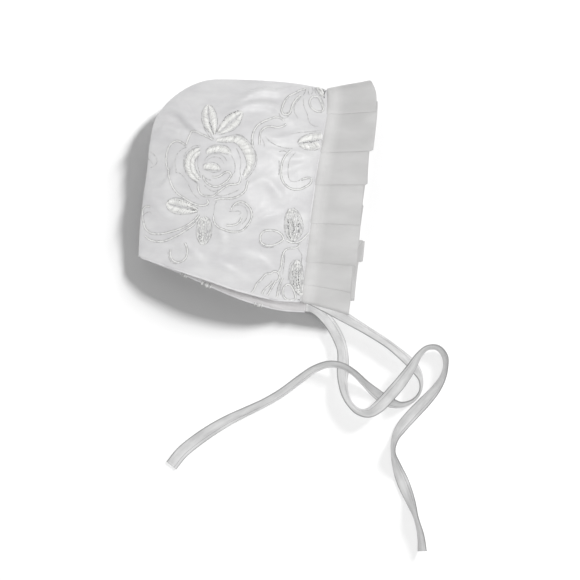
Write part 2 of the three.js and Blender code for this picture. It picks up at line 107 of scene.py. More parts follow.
# Flowing folds of the shown satin, as lines seen from above.
FLOWING_FOLDS = [  # height, how wide it is to the left and to the right of the line, the line
    (3.2, 5, 3, [(-80, 58), (-66, 60.5), (-56, 58), (-48, 51), (-40, 45), (-30, 42)]),
    (2.6, 4, 6, [(-62, 70), (-53, 62), (-46, 54), (-40, 50)]),
    (2.8, 4, 3.6, [(-14, 66), (-6, 70), (4, 72.6), (14, 72), (24, 76), (32, 80)]),
    (2.4, 4, 3, [(-80, 47), (-70, 47), (-62, 48), (-54, 45)]),
    (2.0, 4, 5, [(-22, 58), (-12, 62), (-2, 64), (10, 63), (16, 58), (22, 54)]),
    (0.8, 3, 5, [(2, 44), (10, 41), (20, 42), (32, 46), (44, 46)]),
    (0.8, 3, 4, [(6, 34), (16, 31), (26, 31), (38, 28), (46, 24)]),
    (0.8, 4, 4, [(18, 18), (28, 22), (36, 24), (42, 20)]),
    (1.5, 3, 6, [(-84, 4), (-74, 5), (-66, 8), (-60, 16), (-56, 26)]),
    (1.5, 4, 5, [(-82, 2), (-74, -3), (-66, -10), (-58, -14)]),
    (0.8, 5, 7, [(-16, 0), (-6, 8), (4, 12), (12, 6), (20, -6)]),
    (0.8, 3, 5, [(-12, -28), (-4, -20), (6, -14), (16, -12)]),
    (1.1, 4, 6, [(-42, -34), (-28, -30), (-16, -26), (-8, -16), (0, -8)]),
    (0.7, 4, 6, [(-24, -46), (-12, -40), (2, -44), (10, -52), (16, -60)]),
    (1.2, 4, 4, [(-70, -36), (-58, -32), (-48, -36), (-40, -44)]),
    (0.7, 3, 4, [(-40, -52), (-30, -46), (-20, -50), (-8, -58)]),
    (0.8, 4, 5, [(-30, -14), (-26, -24), (-24, -34), (-30, -44)]),
]
# Folds of the resting side's lining, near its neck edge.
LINING_FOLDS = [
    (0.9, 1.2, 0.9, [
        (-32, -62), (-24, -65.6), (-14, -69.3), (-3, -72.4), (8, -74.8), (20, -76.2), (30, -76.4),
    ]),
    (0.8, 0.8, 0.8, [(-26, -63.2), (-18, -66), (-8, -69.4), (2, -72), (10, -73.4)]),
    (0.7, 1.0, 1.0, [(8, -77), (16, -77.8), (24, -78), (31, -78.2)]),
]
FLOW_SAMPLES = 40
FLOW_WIDTH = 0.7
FLOW_HEIGHT = 1.4
FLOW_ENDS = (0.04, 0.96)  # the part of a half wave that a fold's height follows along its line
FLOW_TAPER = 0.6

# The shown cloth of the sides.
ACROSS_STEPS = 150
DOWN_STEPS = 160
SEAM_CROWDING = 1.35
PANEL_PLY = 0.8
LEFT_PLY = 0.5
LEFT_ROOM = 0.45  # how far the resting side's satin lies over its solid's face, for the threads under it
LINING_EASE = 0.1  # how far the lining's inner face lies inside its solid's
SOFT_WAVES = [  # spacing, height and seed of the cloth's unevenness
    (24, 0.3, 3), (11, 0.12, 5), (5, 0.03, 8),
]
MEAN_FOLD = 0.4  # the folds stand this far over the middle of the satin on average
RELIEF_FROM_FACE = 7  # the waves and folds have their full height this far from the face edge
RELIEF_FROM_SEAM = 9
PUCKER_SPACING = 8.5
PUCKER_REACH = 6.5
PUCKER_HEIGHT = 0.22
PUCKER_DRIFT = 1.6  # how unevenly the puckers are spaced
PUCKER_DRIFT_SPACING = 30
PUCKER_SEED = 11
PUCKER_FROM_FACE = (0, 1.5)
PUCKER_FROM_SEAM = (1, 4)
SEAM_TURN = 40  # above this the centre seam runs along the top, below it down the back

# The band and the ruffle along the face edge.
BAND_WIDTH = 4.5
BAND_THICKNESS = 1.4
LEFT_BAND_DROP = 144.6
CROWN = 0.5  # the crown's place along the whole face edge
EDGE_SHARES = [1, 0.88, 0.75, 0.62, 0.5, 0.38, 0.27, 0.18, 0.11, 0.06, 0.03]
PLEAT_LIFT = 3.3
PLEAT_STEP = 1.2
PLEATS = [  # side, fold below the crown, reach at the start and at the fold, how far it folds under
    ("left", 115, 29, 30, 2.5), ("left", 104, 33, 33.2, 3), ("left", 80, 28.6, 30.2, 7),
    ("left", 53, 29, 30.6, 7), ("left", 24, 29.5, 30.2, 7),
    ("right", 16.5, 27, 30.6, 6), ("right", 43, 30.9, 32.6, 8), ("right", 65.5, 29.2, 32.2, 8),
    ("right", 92, 29.8, 31, 8), ("right", 118.5, 30.8, 31.4, 8), ("right", 134, 28.8, 29.4, 6),
    ("right", 147.5, 29.4, 30.4, 0),
]
HEM_DROOP = 3.5
DROOP_SHARES = (0.53, 0.62)
CROWN_PUFF = 1.8
CROWN_PUFF_SHARE = 0.035
FAN = [  # place from -1 at the left corner to 1 at the right, and the way the ruffle points, x and y
    (-1, 0.995, -0.08), (-0.5, 1, 0), (-0.15, 0.99, 0.08), (0, 0.98, 0.19), (0.15, 0.995, 0.06),
    (0.5, 1, 0), (0.85, 0.985, -0.1), (1, 0.957, -0.28),
]
FOLD_STEPS = 6
FOLD_SHARE = 1 / 3
PLEAT_GRAIN = 2.2  # how far apart the places along a pleat are
REACH_STEPS = 34
REACH_START = 4.5  # the pleats' reach is measured from the band's outer edge
RUFFLE_START = -0.3
RUFFLE_PLY = 0.36
RUFFLE_WAVE = 0.35
RUFFLE_WAVE_SPACING = 17
RUFFLE_WAVE_SEED = 21
PRESSED = (0.2, 0.42)  # the pleats' height as a share of the solid's, at the band and at the hem
PRESSED_SHARE = 0.35  # how much of the reach it takes from the one to the other
BAND_COVER = 1.85  # how far the ruffle's middle passes over the band's
COVER_RISE = (-1.2, 1.4)
COVER_FALL = (0.7, 2)  # as shares of the band's width
CROWN_ROUNDING = 3.6  # how much less the ruffle reaches at the crown
CROWN_SHARE = 0.022

# The shown band, a folded strip.
BAND_RINGS = 320
BAND_SIDES = 20
BAND_CROWDING = 1.5
BAND_SQUARENESS = 0.5
BAND_OVERLAP = 1.7  # how far the folded band reaches over the edges of the side
BAND_SHOWN_THICKNESS = 2.9
BAND_PUFF = 0.06
BAND_PUFF_SPACING = 5.5
BAND_GRAIN = 100
BAND_DRIFT_SPACING = 9
BAND_SEED = 4

# The ties, folded ribbon with a sewn edge.
TIE_WIDTH = 8.8
TIE_THICKNESS = 1.2
TIE_RINGS = 260
TABLE_GAP = 0.05
SEWN_IN = 2.2  # how far a tie's end goes in between the satin and the lining
TIE_SECTION = [  # place across and height, as shares of half the width and of half the thickness
    (-1, 0), (-0.95, 0.6), (-0.82, 0.95), (-0.64, 0.95), (-0.55, 0.7), (-0.5, 0.28), (-0.45, 0.62),
    (-0.3, 0.8), (0, 0.85), (0.4, 0.85), (0.75, 0.85), (0.93, 0.7),
]
RIGHT_TIE = [  # x, y, height of the lower edge, roll from lying flat in degrees
    (32, -69, 12.6, 0), (37, -71, 10.8, 0), (43, -74, 8.8, 6), (52.4, -79.2, 5.6, 20),
    (64.7, -86.5, 1.6, 38), (76.8, -93.8, 0, 50), (91.6, -103.3, 0, 52), (104.3, -113.9, 0, 42),
    (110.2, -120.3, 0, 44), (114, -128, 0.6, 70), (113.4, -136, 1.6, 80), (108.4, -142.4, 2, 76),
    (100, -145.4, 1, 62), (91.4, -143.2, 0, 34), (83, -137.6, 0, 36), (75, -130.4, 0.8, 56),
    (66.8, -122.6, 3.4, 62), (58.4, -117.8, 5, 60), (49.2, -116.9, 3.6, 58), (39.2, -120.4, 0.8, 54),
    (28.5, -127.9, 0, 48), (16.5, -136.8, 0, 48), (4.5, -143.8, 0, 48), (-8, -149.8, 0, 42),
    (-20, -155.6, 0, 32), (-32, -162.6, 0, 18), (-44, -170.9, 0, 6), (-53.5, -178.8, 0, 0),
    (-61, -188, 0, 0),
]
LEFT_TIE = [
    (34.6, -76.2, 1.7, 0), (37.6, -76.6, 1.6, 3), (42.4, -79.6, 0.8, 14), (47.4, -84.8, 0.2, 22),
    (52, -91, 0, 25), (56.2, -98.8, 0, 25), (58.8, -106.4, 0, 32), (59.5, -114, 0, 24),
    (59.3, -121, 0, 20), (59.2, -130, 0, 44), (61, -138.4, 0, 56), (64.6, -145.2, 0, 64),
    (70.4, -150.2, 1, 60), (77.6, -150.9, 3.6, 40), (85.5, -145.6, 6.4, 10), (93.5, -137, 7, -4),
    (101, -128, 7.4, -20), (107.4, -118.8, 7.8, -40), (112.4, -110.6, 5.8, -60),
    (118.6, -105.3, 2.8, -68), (125.8, -105.4, 1, -66), (130.8, -111.2, 0, -64),
    (131.4, -118.8, 0, -70), (129.3, -126.4, 0, -62), (124.2, -134.8, 0, -42),
    (117.2, -142.8, 0, -22), (108.4, -152, 0, -12), (100.6, -161, 0, -26), (96, -169, 0, -58),
    (94.6, -178, 0, -72), (97.2, -188.4, 0, -46), (101.6, -200, 0, -14), (106.8, -213, 0, -42),
    (111, -225.6, 0, -70), (114, -237, 0, -60), (115, -248, 0, -46),
]

# The embroidery, charted as seen from above. Both sides carry the same pattern.
# A leaf or a petal has the points of its middle line, and how far it reaches to the left and right there.
SATIN_LEAVES = {
    "upright_leaf": [
        (-30.7, 42.6, 0.5, 0.5), (-31.9, 47, 3, 3), (-33.2, 51.4, 4.6, 4.7), (-34, 55.4, 4.8, 5),
        (-34.4, 59, 4, 4.2), (-34.7, 62.6, 2.2, 2.2), (-34.9, 63.8, 0.6, 0.6),
    ],
    "leaning_leaf": [
        (-28, 43.6, 0.5, 0.5), (-24, 47, 3.1, 3.1), (-20, 50.3, 4.4, 4.6), (-16.2, 53.8, 4.5, 4.4),
        (-13, 56.8, 2.9, 2.4), (-10.8, 59, 0.6, 0.6),
    ],
    "low_leaf": [
        (-41.4, -9.4, 0.4, 0.4), (-45.4, -8.7, 2.4, 2.2), (-50, -7.6, 4.2, 4), (-55.2, -6.6, 5, 5),
        (-59.8, -5.5, 4.4, 4.5), (-62.6, -4.7, 2.4, 2.4), (-63.6, -4.4, 0.6, 0.6),
    ],
    "seam_leaf": [
        (27.8, 36.4, 0.6, 0.6), (30.2, 37.2, 3, 3.2), (33.8, 37.8, 4.6, 4.8), (38.2, 38.4, 5.2, 5.6),
        (42, 39.4, 4.8, 5), (45, 40.2, 3.9, 3.9),
    ],
    "crown_leaf": [
        (40.6, 77.2, 0.5, 0.5), (42.4, 75.4, 1.2, 1.2), (44.2, 73, 1.4, 1.4), (45.3, 70.4, 0.4, 0.4),
    ],
}
SATIN_PETALS = {
    "outer_petal": [
        (-29, 39, 0.6, 0.6), (-24, 39.5, 1.4, 1.4), (-19, 39.8, 1.9, 1.9), (-15, 40, 2.3, 2.4),
        (-11.6, 38.2, 2.8, 2.9), (-8.2, 34.6, 3.2, 3.2), (-6, 30.2, 3.3, 3.3), (-5, 26, 2.7, 2.8),
        (-5.4, 22, 2, 2), (-7.4, 17.6, 1.5, 1.5), (-9.8, 13.8, 0.6, 0.6),
    ],
    "top_petal": [
        (-35.8, 30.4, 0.8, 0.8), (-33, 32.2, 1.7, 1.7), (-29.5, 33.3, 2.1, 2.1), (-25.5, 33.2, 2.2, 2.2),
        (-22, 32, 2, 2), (-19.2, 29.6, 0.7, 0.7),
    ],
    "side_petal": [
        (-40.2, 33.4, 0.5, 0.5), (-44.2, 31.8, 1.3, 1.3), (-47.6, 28.2, 1.7, 1.6), (-49, 23.6, 1.7, 1.6),
        (-48.2, 18.6, 1.5, 1.5), (-45.6, 14.2, 1.3, 1.3), (-41.2, 10.6, 0.5, 0.5),
    ],
    "side_petal_inside": [
        (-40, 31, 0.5, 0.5), (-43, 29.2, 1.1, 1.2), (-45.2, 26, 1.3, 1.4), (-45.6, 21.6, 1.3, 1.4),
        (-44.4, 17.6, 1.2, 1.3), (-42.2, 14.2, 1, 1.1), (-40, 12.2, 0.4, 0.4),
    ],
    "heart": [
        (-38, 20.3, 0.8, 0.8), (-35, 21.2, 1.8, 1.8), (-31, 21, 2.1, 2.1), (-28, 19.8, 1.5, 1.5),
        (-26.6, 18.8, 0.5, 0.5),
    ],
}
SEEDED_LEAVES = {
    "hanging_leaf": [
        (-38, -13.8, 1, 1), (-37.4, -17, 3.8, 3.8), (-37.3, -21, 4.7, 4.7), (-37.6, -25, 5, 5),
        (-38, -29, 4, 4), (-38.4, -32.4, 1.8, 1.8), (-38.5, -33.6, 0.4, 0.4),
    ],
    "front_leaf": [
        (23, -7.8, 1, 1), (23.8, -12, 4.2, 4.2), (24.5, -17, 5.6, 5.6), (24.8, -22, 6, 5.9),
        (24.6, -27, 4.4, 4.4), (24.6, -30.6, 0.8, 0.8),
    ],
    "corner_leaf": [
        (27.4, -43.4, 0.5, 0.5), (27, -48, 3.2, 3), (26.8, -53.6, 4.2, 4.2), (27, -59, 4.2, 4.2),
        (28.4, -64, 2.6, 2.8), (30, -68.8, 0.4, 0.4),
    ],
}
# Rows of dark stitches that paint the shade in the gaps between the stitches of a leaf. A lane is -1 at its
# right outline and 1 at its left.
GAP_SHADE_ROWS = [  # leaf, lane, the shares of its length where the row starts and ends
    ("hanging_leaf", -0.5, 0.5, 0.85), ("hanging_leaf", 0.2, 0.5, 0.7), ("front_leaf", -0.62, 0.34, 0.95),
    ("front_leaf", -0.1, 0.38, 0.98), ("front_leaf", 0.12, 0.44, 0.98), ("front_leaf", 0.6, 0.3, 0.76),
    ("corner_leaf", -0.6, 0.36, 0.66), ("corner_leaf", -0.1, 0.34, 0.86), ("corner_leaf", 0.3, 0.36, 0.9),
    ("low_leaf", -0.4, 0.1, 0.36), ("low_leaf", -0.8, 0.16, 0.6), ("low_leaf", 0.3, 0.08, 0.3),
    ("leaning_leaf", 1.1, 0.4, 0.9), ("upright_leaf", 0.02, 0.2, 0.45), ("seam_leaf", 0, 0.3, 0.9),
]
# Short dark marks at the ends of the face edge, painted shade in the gaps there.
NOTCHES = {
    "crown_notch": [(47, 74.4), (46.4, 72.8), (46, 70.6), (46.1, 69)],
    "crown_notch_beside": [(45.2, 75.8), (46, 73.6)],
    "corner_notch": [(27.6, -71.4), (29.4, -72), (30.6, -72.8)],
}
# Thick outlines, white cords between two fine rows of grey stitches, painted shade at their sides.
CORDS = {
    "petal_behind": [
        (-49.8, 36.4), (-48.8, 39.6), (-47.4, 42.8), (-45.8, 45.6), (-43, 45.4), (-40, 43.8), (-37, 42.4),
        (-34, 41), (-31, 39.4),
    ],
    "left_petal": [
        (-50, 35.6), (-52.6, 37.4), (-55.4, 38.8), (-58.4, 38.4), (-61, 36.2), (-62.8, 32.8),
        (-63.8, 28.4), (-64, 24), (-63.2, 20.4), (-61.8, 18.6),
    ],
    "low_left_petal": [
        (-62.2, 18.4), (-62.2, 15.4), (-61.2, 11.4), (-59.6, 7.2), (-57.4, 4), (-55, 1.6), (-51.4, -0.8),
        (-48, -3), (-44, -5), (-40, -6), (-36.6, -5.8), (-34.6, -4.4), (-35, -2.2),
    ],
    "bottom_petal": [
        (-41.4, 9), (-41.6, 6), (-40.4, 2.8), (-38, 0.8), (-34.6, 0.4), (-31, 0.4), (-28.6, 2.2),
        (-26, 4.4), (-23, 6.6), (-20, 8.2), (-16, 8.6), (-13.4, 9.2), (-12.4, 11), (-12.2, 13.6),
    ],
    "cup": [
        (-38.2, 15), (-37.2, 11.8), (-35.4, 9.4), (-32.4, 7.6), (-29, 7), (-26, 7.8), (-22.6, 9.8),
        (-20, 12.4), (-18.6, 14.8), (-19.2, 16.6), (-21, 17.2), (-23.6, 16.4), (-26, 14.6),
        (-28.6, 13.6), (-32, 13.6),
    ],
    "low_petal": [
        (-30.4, -2.4), (-27, -1.5), (-23, -1.4), (-18, -1.2), (-14, 0), (-11, 2), (-8.6, 4.6), (-7.8, 7.6),
        (-6.8, 10.8),
    ],
    "back_scroll": [
        (-75.5, -6.6), (-78, -6.4), (-80.4, -8.6), (-80.6, -14), (-79.8, -18.6), (-78.6, -22), (-75, -25),
        (-70, -25.7), (-66, -25.4), (-61, -24.2), (-56, -22.8), (-52, -21.2), (-48.6, -19.4),
        (-45.6, -17.2), (-43, -14.8), (-41, -12.2),
    ],
    "back_scroll_below": [
        (-79, -27), (-76, -29.6), (-72, -30.8), (-67, -31), (-63, -30), (-59, -28.2), (-54, -25.6),
        (-50, -23), (-46, -20.4), (-43, -17.6), (-40.4, -14),
    ],
    "small_loop": [
        (-61.2, -36.6), (-61, -41), (-59, -44.4), (-55.8, -45.5), (-52.6, -44.6), (-50.2, -42),
        (-49.2, -38.6), (-49.6, -35), (-51, -32),
    ],
    "round_scroll": [
        (-31, -14), (-30.2, -18), (-27.6, -21), (-24, -22.8), (-20.5, -24), (-17, -24.6), (-13, -24.2),
        (-10, -22.8), (-8, -20.6), (-6, -18), (-4.6, -15), (-4.2, -12), (-5, -9), (-7, -6.2), (-9.5, -4.2),
        (-12, -3.5), (-14.5, -4.2), (-17, -6.2), (-18.6, -8.8),
    ],
    "round_scroll_inside": [
        (-22, -19.8), (-18, -19.9), (-15, -19.1), (-12.6, -17.2), (-11.4, -14.6),
    ],
    "crown_loop": [
        (33, 75.6), (29, 74.2), (25.4, 72.2), (21.6, 70.2), (18.8, 67), (17, 63), (16.4, 59.6),
        (17.6, 57.4), (19.8, 56.8), (22.2, 58.2), (23.2, 61.2), (24.4, 64.8), (26.6, 68), (29.4, 70.8),
    ],
    "crown_small_loop": [
        (38, 70), (36.2, 67.6), (36, 64.6), (37.6, 61.6), (40.4, 59.8), (43.4, 59.4), (45.4, 60.8),
        (44.6, 64), (43.4, 67), (41.4, 69.8), (38, 70),
    ],
    "wave_top": [
        (-3.2, 34), (-4, 38), (-3.6, 43), (-1.8, 47.4), (0.6, 50.2), (4.4, 52.4), (9, 54.2), (12, 55.4),
        (15.4, 54.8), (18, 53),
    ],
    "wave": [
        (1.2, 36), (1.2, 41), (2.2, 45.4), (5, 48), (9, 48.6), (14, 48.1), (17, 48.8), (19.6, 50.4),
    ],
    "face_scroll": [
        (22.6, 31.8), (20, 29.6), (18.2, 27), (16.8, 23.8), (16.2, 20), (15.9, 16), (16.8, 11.6),
        (18.8, 8.4), (21.6, 6.2), (25, 5), (29.6, 5.3), (33, 6.9), (36, 9), (37.4, 11.8), (36.2, 13),
        (33.4, 12.8), (30, 11.8),
    ],
    "oval_loop": [
        (18, -29.4), (16.6, -26.6), (14, -24.5), (9, -23.3), (4.6, -23.9), (2.2, -26), (1.5, -29),
        (2.1, -31.6), (4.8, -33.4), (8, -33.9), (12, -33.1), (15.6, -31.3), (18, -29.4),
    ],
    "front_tail": [
        (19.5, -30), (23, -31.6), (27, -31.7), (30, -30.3), (32.6, -28), (35, -25.2),
    ],
    "stem": [
        (28.4, -31.8), (28.4, -34), (26.6, -35.4), (22, -35.7), (19.4, -36.8), (17.8, -38.8), (16.8, -42),
        (16.4, -46), (15.6, -50), (14.2, -52.4),
    ],
    "corner_petal_left": [
        (-4.6, -66.8), (-2.8, -64.6), (-1.2, -61), (0, -59.4), (2, -57.6), (4.2, -55), (6, -53.5),
        (8.6, -53.4), (10.4, -52.2), (12.6, -52), (14.6, -54), (14.6, -56.8), (13, -59),
    ],
    "corner_petal_second": [(2.6, -67.6), (4, -65), (6, -63), (8, -61.4), (10, -59)],
    "corner_petal_third": [(6.4, -68.4), (8, -66), (9.4, -63.4), (10.8, -61), (12.4, -58.4)],
    "corner_petal_fourth": [(13, -70), (13.8, -66), (14.6, -62), (16, -59), (17, -56.4)],
    "corner_oval": [
        (20.2, -60.8), (18, -62.8), (17.2, -66), (17.8, -69.4), (20, -71.4), (23.6, -71.8), (26, -70.6),
        (25.6, -67.4), (24.2, -64), (22.4, -61.4), (20.2, -60.8),
    ],
}
# Fine outlines, a single row of small grey stitches whose grey is painted shade along a raised line.
FINE_LINES = {
    "left_petal_inside": [
        (-49.8, 34.4), (-53, 33), (-55.8, 30.4), (-57.6, 26), (-57.4, 21.6), (-56.8, 18.4),
    ],
    "side_petal_edge": [
        (-39.8, 35.4), (-44, 35.4), (-48, 33), (-50.8, 29.6), (-51.8, 25), (-51.4, 20), (-49.6, 16),
        (-46, 12), (-42, 9),
    ],
    "side_petal_inner_edge": [(-40.2, 30), (-41.6, 27), (-41.8, 22), (-40.8, 18), (-39.8, 14)],
    "low_left_fold": [
        (-57.8, 19), (-57, 17), (-54.4, 16.4), (-51.8, 14), (-49.6, 11), (-48, 7.6), (-46.4, 4.4),
        (-44, 1), (-41, -1.6),
    ],
    "cup_fold": [(-37, 13.2), (-34.6, 11.8), (-32.6, 11.4)],
    "cup_base": [(-37.2, 8), (-34, 5.2), (-30.2, 3.6), (-27.4, 4.8)],
    "spiral": [
        (-37, 24.6), (-35.6, 27.4), (-32.6, 29.2), (-29, 29.7), (-25.6, 29.1), (-23, 27.2), (-21.6, 24.8),
    ],
    "spiral_inside": [
        (-35.8, 24.2), (-34, 26.2), (-30.6, 27.5), (-27, 27), (-24.6, 25.2), (-23.6, 22.8),
    ],
    "under_heart": [(-38, 18.8), (-35, 18.2), (-32, 17), (-29, 16.9), (-26.6, 17.5), (-25.4, 19)],
    "cup_edge": [(-18.4, 28.6), (-16.6, 25), (-15.8, 21), (-16.2, 17), (-18, 14.6)],
    "cup_edge_outside": [(-14.8, 33.4), (-12.8, 29), (-11.8, 24), (-12.4, 18), (-12, 13.8)],
    "low_petal_fold": [(-29.2, 1.4), (-26, 0.4), (-21, 1.4), (-17, 2.8), (-13, 4.8)],
    "rose_edge": [
        (-15.6, 43.4), (-11.6, 42.6), (-7, 39), (-3, 33.6), (-1, 28.4), (-0.8, 24), (-2.4, 19.4),
        (-5.4, 15), (-8.6, 11.8),
    ],
    "leaf_stem": [(-36.8, 49.4), (-35.2, 46.2), (-32.8, 42.8), (-30.6, 40)],
    "leaf_stem_beside": [(-37.8, 48.6), (-36.4, 45.6), (-34.2, 42.6), (-32, 40)],
    "scroll_start": [(-28.8, -3.4), (-30, -6), (-30.4, -9.6), (-31, -13)],
    "round_scroll_top": [
        (-19.6, -9), (-17.2, -7.1), (-14.5, -5.9), (-11.8, -5.9), (-9.2, -7.2), (-7.6, -9.8),
        (-7.2, -13), (-8.6, -16.4), (-11, -19),
    ],
    "round_scroll_end": [(-20, -10.2), (-16.5, -10.2), (-13, -10.1), (-11.6, -11.4), (-13.2, -12.6)],
    "small_loop_outside": [(-62.8, -38.4), (-62.4, -42), (-60.4, -45.4), (-57, -46.8)],
    "back_hook": [(-80.6, -13), (-78.2, -11), (-75.6, -10.4), (-74.4, -11.6)],
    "edge_scroll": [(-76, 32), (-73, 30), (-71, 27.4), (-70.6, 24), (-72.6, 21.6), (-75, 20.6)],
    "edge_scroll_inside": [(-77, 27), (-75.2, 25.4), (-73.6, 22.8)],
    "crown_loop_inside": [(18.2, 58.8), (19.6, 58.2), (21.2, 58.8), (22.6, 61), (24, 65), (27, 69)],
    "crown_loop_beside": [
        (31, 70.4), (28.2, 67.5), (25.8, 64.4), (25.1, 61), (25.5, 58.4), (27, 56), (27.7, 54),
    ],
    "crown_loop_below": [(14.6, 58), (16, 55.4), (19, 54.6), (21.4, 56)],
    "crown_stem": [
        (31.6, 69), (31.8, 64), (33, 60.6), (34.4, 57), (35, 54), (36.4, 51), (39, 49.3), (42.5, 49.1),
    ],
    "crown_inner_stem": [(43.6, 70.6), (45.2, 66.6), (46.4, 63.6)],
    "crown_strand_back": [(33, 77.2), (33.2, 74.4), (31.6, 71)],
    "crown_strand": [(35.6, 77), (35, 74), (35.8, 71)],
    "crown_strand_beside": [(37.6, 76.8), (38.4, 74), (37, 71.6)],
    "crown_strand_front": [(39.6, 76.6), (39.8, 74), (41.2, 71.4), (43.4, 70.6)],
    "wave_fold": [(5, 42), (8, 38.6), (12, 36), (16, 34.4), (20, 33.6), (24, 33.4)],
    "wave_strokes": [(3, 40), (4.2, 37.4), (4.6, 34.6)],
    "wave_end": [(14.6, 31.2), (18, 31.7), (20.6, 30.4)],
    "seam_leaf_line": [(22, 43.2), (28, 44.4), (36, 45.2), (44.6, 46.2)],
    "face_scroll_inside": [
        (26.2, 30.8), (24.6, 29), (22.4, 26.4), (21.2, 22), (20.9, 17), (21.4, 13), (23, 10.8),
        (26.4, 10.4), (29.4, 11.6),
    ],
    "face_scroll_outside": [(14.6, 25), (14.8, 20), (14.3, 15)],
    "oval_outside": [(0.4, -31.4), (2.6, -34.2), (7, -35.4), (11, -35)],
    "stem_beside": [(18.6, -40), (18.4, -45), (17.8, -50), (17.2, -54)],
    "stem_front": [(27.6, -36), (29.4, -38.4), (30.6, -41), (30.2, -45), (30.4, -50)],
    "corner_fold": [(15.8, -68), (15.6, -64), (17, -60.4)],
    "corner_petal_last": [(25.6, -63.2), (28.2, -66.6), (30, -69.8), (29, -72)],
    "corner_middle": [(21, -58), (21.4, -52), (22.4, -47), (25, -43.6)],
}
# Where the embroidery on the resting side wraps round its hem.
HEM_KNOTS = [  # share along the neck edge from the nape, how many stitches
    (0.288, 6), (0.3, 7), (0.42, 6), (0.43, 8), (0.445, 6), (0.735, 6), (0.75, 5),
]

# Satin stitch.
THREAD_SPACING = 0.7
THREAD_RADIUS = 0.3
THREAD_POINTS = 7
THREAD_BREADTH = 1.25  # how much wider than high a thread of satin stitch is
THREAD_TAPER = (0.55, 0.5)  # how wide threads are at their ends, and how fast they widen
THREAD_SIZES = (0.88, 1.12)
THREAD_SUNK = 0.4
PADDING = (0.3, 0.11)  # how high satin stitch stands, and how much more for each millimetre of width
PADDING_SPREAD = (0.65, 1.35)
PADDING_ROUNDNESS = 0.6
RAGGED = 0.32  # how unevenly satin stitches end
SLANT = 2.2
LEAF_ENDS = 0.3
LEAF_STEP = 0.01
VEIN_GAP = 1.0
VEIN_SHARE = 0.3  # the gap is at most this share of half the leaf

# Rows of stitches: cords, outlines and the rows of painted shade beside cords.
STITCH_STEP = 1.4
STITCH_LENGTH = 1.8
STITCH_POINTS = 4
STITCH_ARCH = 0.12
STITCH_TAPER = (0.75, 0.7)
CORD_RADIUS = 0.5
CORD_FLATNESS = 0.6
SHADE_RADIUS = 0.18
SHADE_GAP = 0.15
OUTLINE_RADIUS = SHADE_RADIUS * 1.2
OUTLINE_GAP = 0.6  # how far outside a leaf its outline runs
OUTLINE_POINTS = 12
OUTLINE_SPAN = (0.01, 0.99)

# Seed stitch, in lanes from -1 at a leaf's right outline to 1 at its left.
SEED_LENGTH = 1.9
SEED_STEP = 2.1
SEED_LANES = (-0.94, -0.76, -0.5, -0.34, -0.17, 0, 0.17, 0.34, 0.5, 0.76, 0.94)
SEED_FIRST = (0.4, 1.6)
SEED_BREADTH = 1.15
SEED_TAPER = (0.6, 1)
SEED_ARCH = 0.35
SEED_SPREAD = 0.15
LANE_SPREAD = 0.05

# Painted shade: dark gaps between stitches, and dark specks on satin stitch.
GAP_LENGTH = 1.0
GAP_LENGTHS = (0.4, 1)
GAP_STEP = 1.4
GAP_RADIUS = 0.3
GAP_TAPER = (0.7, 1)
GAP_LIFT = 0.55
GAP_DRIFT = 0.3
GAP_SPREAD = 0.35
SPECKS = 1.5  # for each millimetre of a leaf or petal
SPECK_POINTS = 3
SPECK_LENGTH = 0.45
SPECK_RADIUS = 0.16
SPECK_SIZES = (0.7, 1.3)
SPECK_LIFT = 0.95
SPECK_SPAN = (0.04, 0.94)
SPECK_LANE = 0.95
EMBROIDERY_SEED = 5
# The outlines piece holds the grey rows of painted shade; the shade_stitch piece holds the dark gaps and
# notches.
STITCHES = ("satin_stitch", "seed_stitch", "shade_stitch", "cords", "outlines")

# The threads under the resting side are pressed flat to a share, but stay at least so thick.
FLATTENED = 0.3
LEAST_THICKNESS = 0.5
RAY_START = 100  # higher than all the cloth

# Hems where each panel and its lining are folded together at the neck edge, and the stitches round one.
HEM_RADIUS = 1.1
HEM_RINGS = 220
HEM_SIDES = 12
HEM_SPAN = (0.004, 0.985)
HEM_FLATNESS = 0.8
HEM_DROP = 0.2  # how much lower the resting side's hem lies
HEM_UNEVENNESS = 0.05
HEM_GRAIN = 130
HEM_WAVE_SPACING = 7
HEM_SEEDS = {"right": 31, "left": 32}
KNOT_POINTS = 14
KNOT_SIDES = 5
KNOT_STEP = 0.006
KNOT_DRIFT = 0.3
KNOT_RADIUS = 0.3
KNOT_HEIGHTS = (0.1, 0.8)
KNOT_LEAN = 0.5
KNOT_LEANS = (0.5, 1.6)
KNOT_SEED = 14

# Colours are shares of red, green and blue.
THREADS = {  # dull colour, colour, the share of stitches that are dull, roughness
    "white thread": ((0.86, 0.86, 0.845), (1.0, 1.0, 0.98), 0.1, 0.22),
    "seed thread": ((0.66, 0.66, 0.655), (0.96, 0.96, 0.945), 0.12, 0.3),
    # The shade thread's dark stitches are painted shade: gaps between stitches and dark notches.
    "shade thread": ((0.16, 0.16, 0.16), (0.4, 0.4, 0.4), 0.4, 0.5),
    "cord thread": ((0.78, 0.78, 0.775), (0.98, 0.98, 0.965), 0.1, 0.3),
    # This grey thread paints shade along raised lines, beside cords, round leaves, in veins and where
    # threads part.
    "outline shade thread": ((0.56, 0.56, 0.555), (0.78, 0.78, 0.775), 0.25, 0.5),
}
DULL_BLEND = 0.3
SHEEN = 0.1
SHEEN_ROUGHNESS = 0.4
CLOUD_RANGE = (0.35, 0.65)
CLOUD_DETAIL = 3.0
RAMP_MIDDLE = 0.5
ORGANZA_REACH = 40
ORGANZA_BANDS = [  # share of the reach, tone: satin shows through where it starts
    (0, 1), (0.14, 0.98), (0.3, 0.86), (1, 0.85),
]
TIE_PAINTED_SHADE = [  # share of the width, tone: painted shade at the folded edges and in the groove of the sewn line
    (0, 0.4), (0.04, 0.55), (0.08, 0.96), (0.23, 1), (0.25, 0.5), (0.27, 0.96), (0.6, 1), (0.9, 0.94),
    (0.95, 0.6), (1, 0.42),
]
EMBROIDERED = "embroidered_satin"

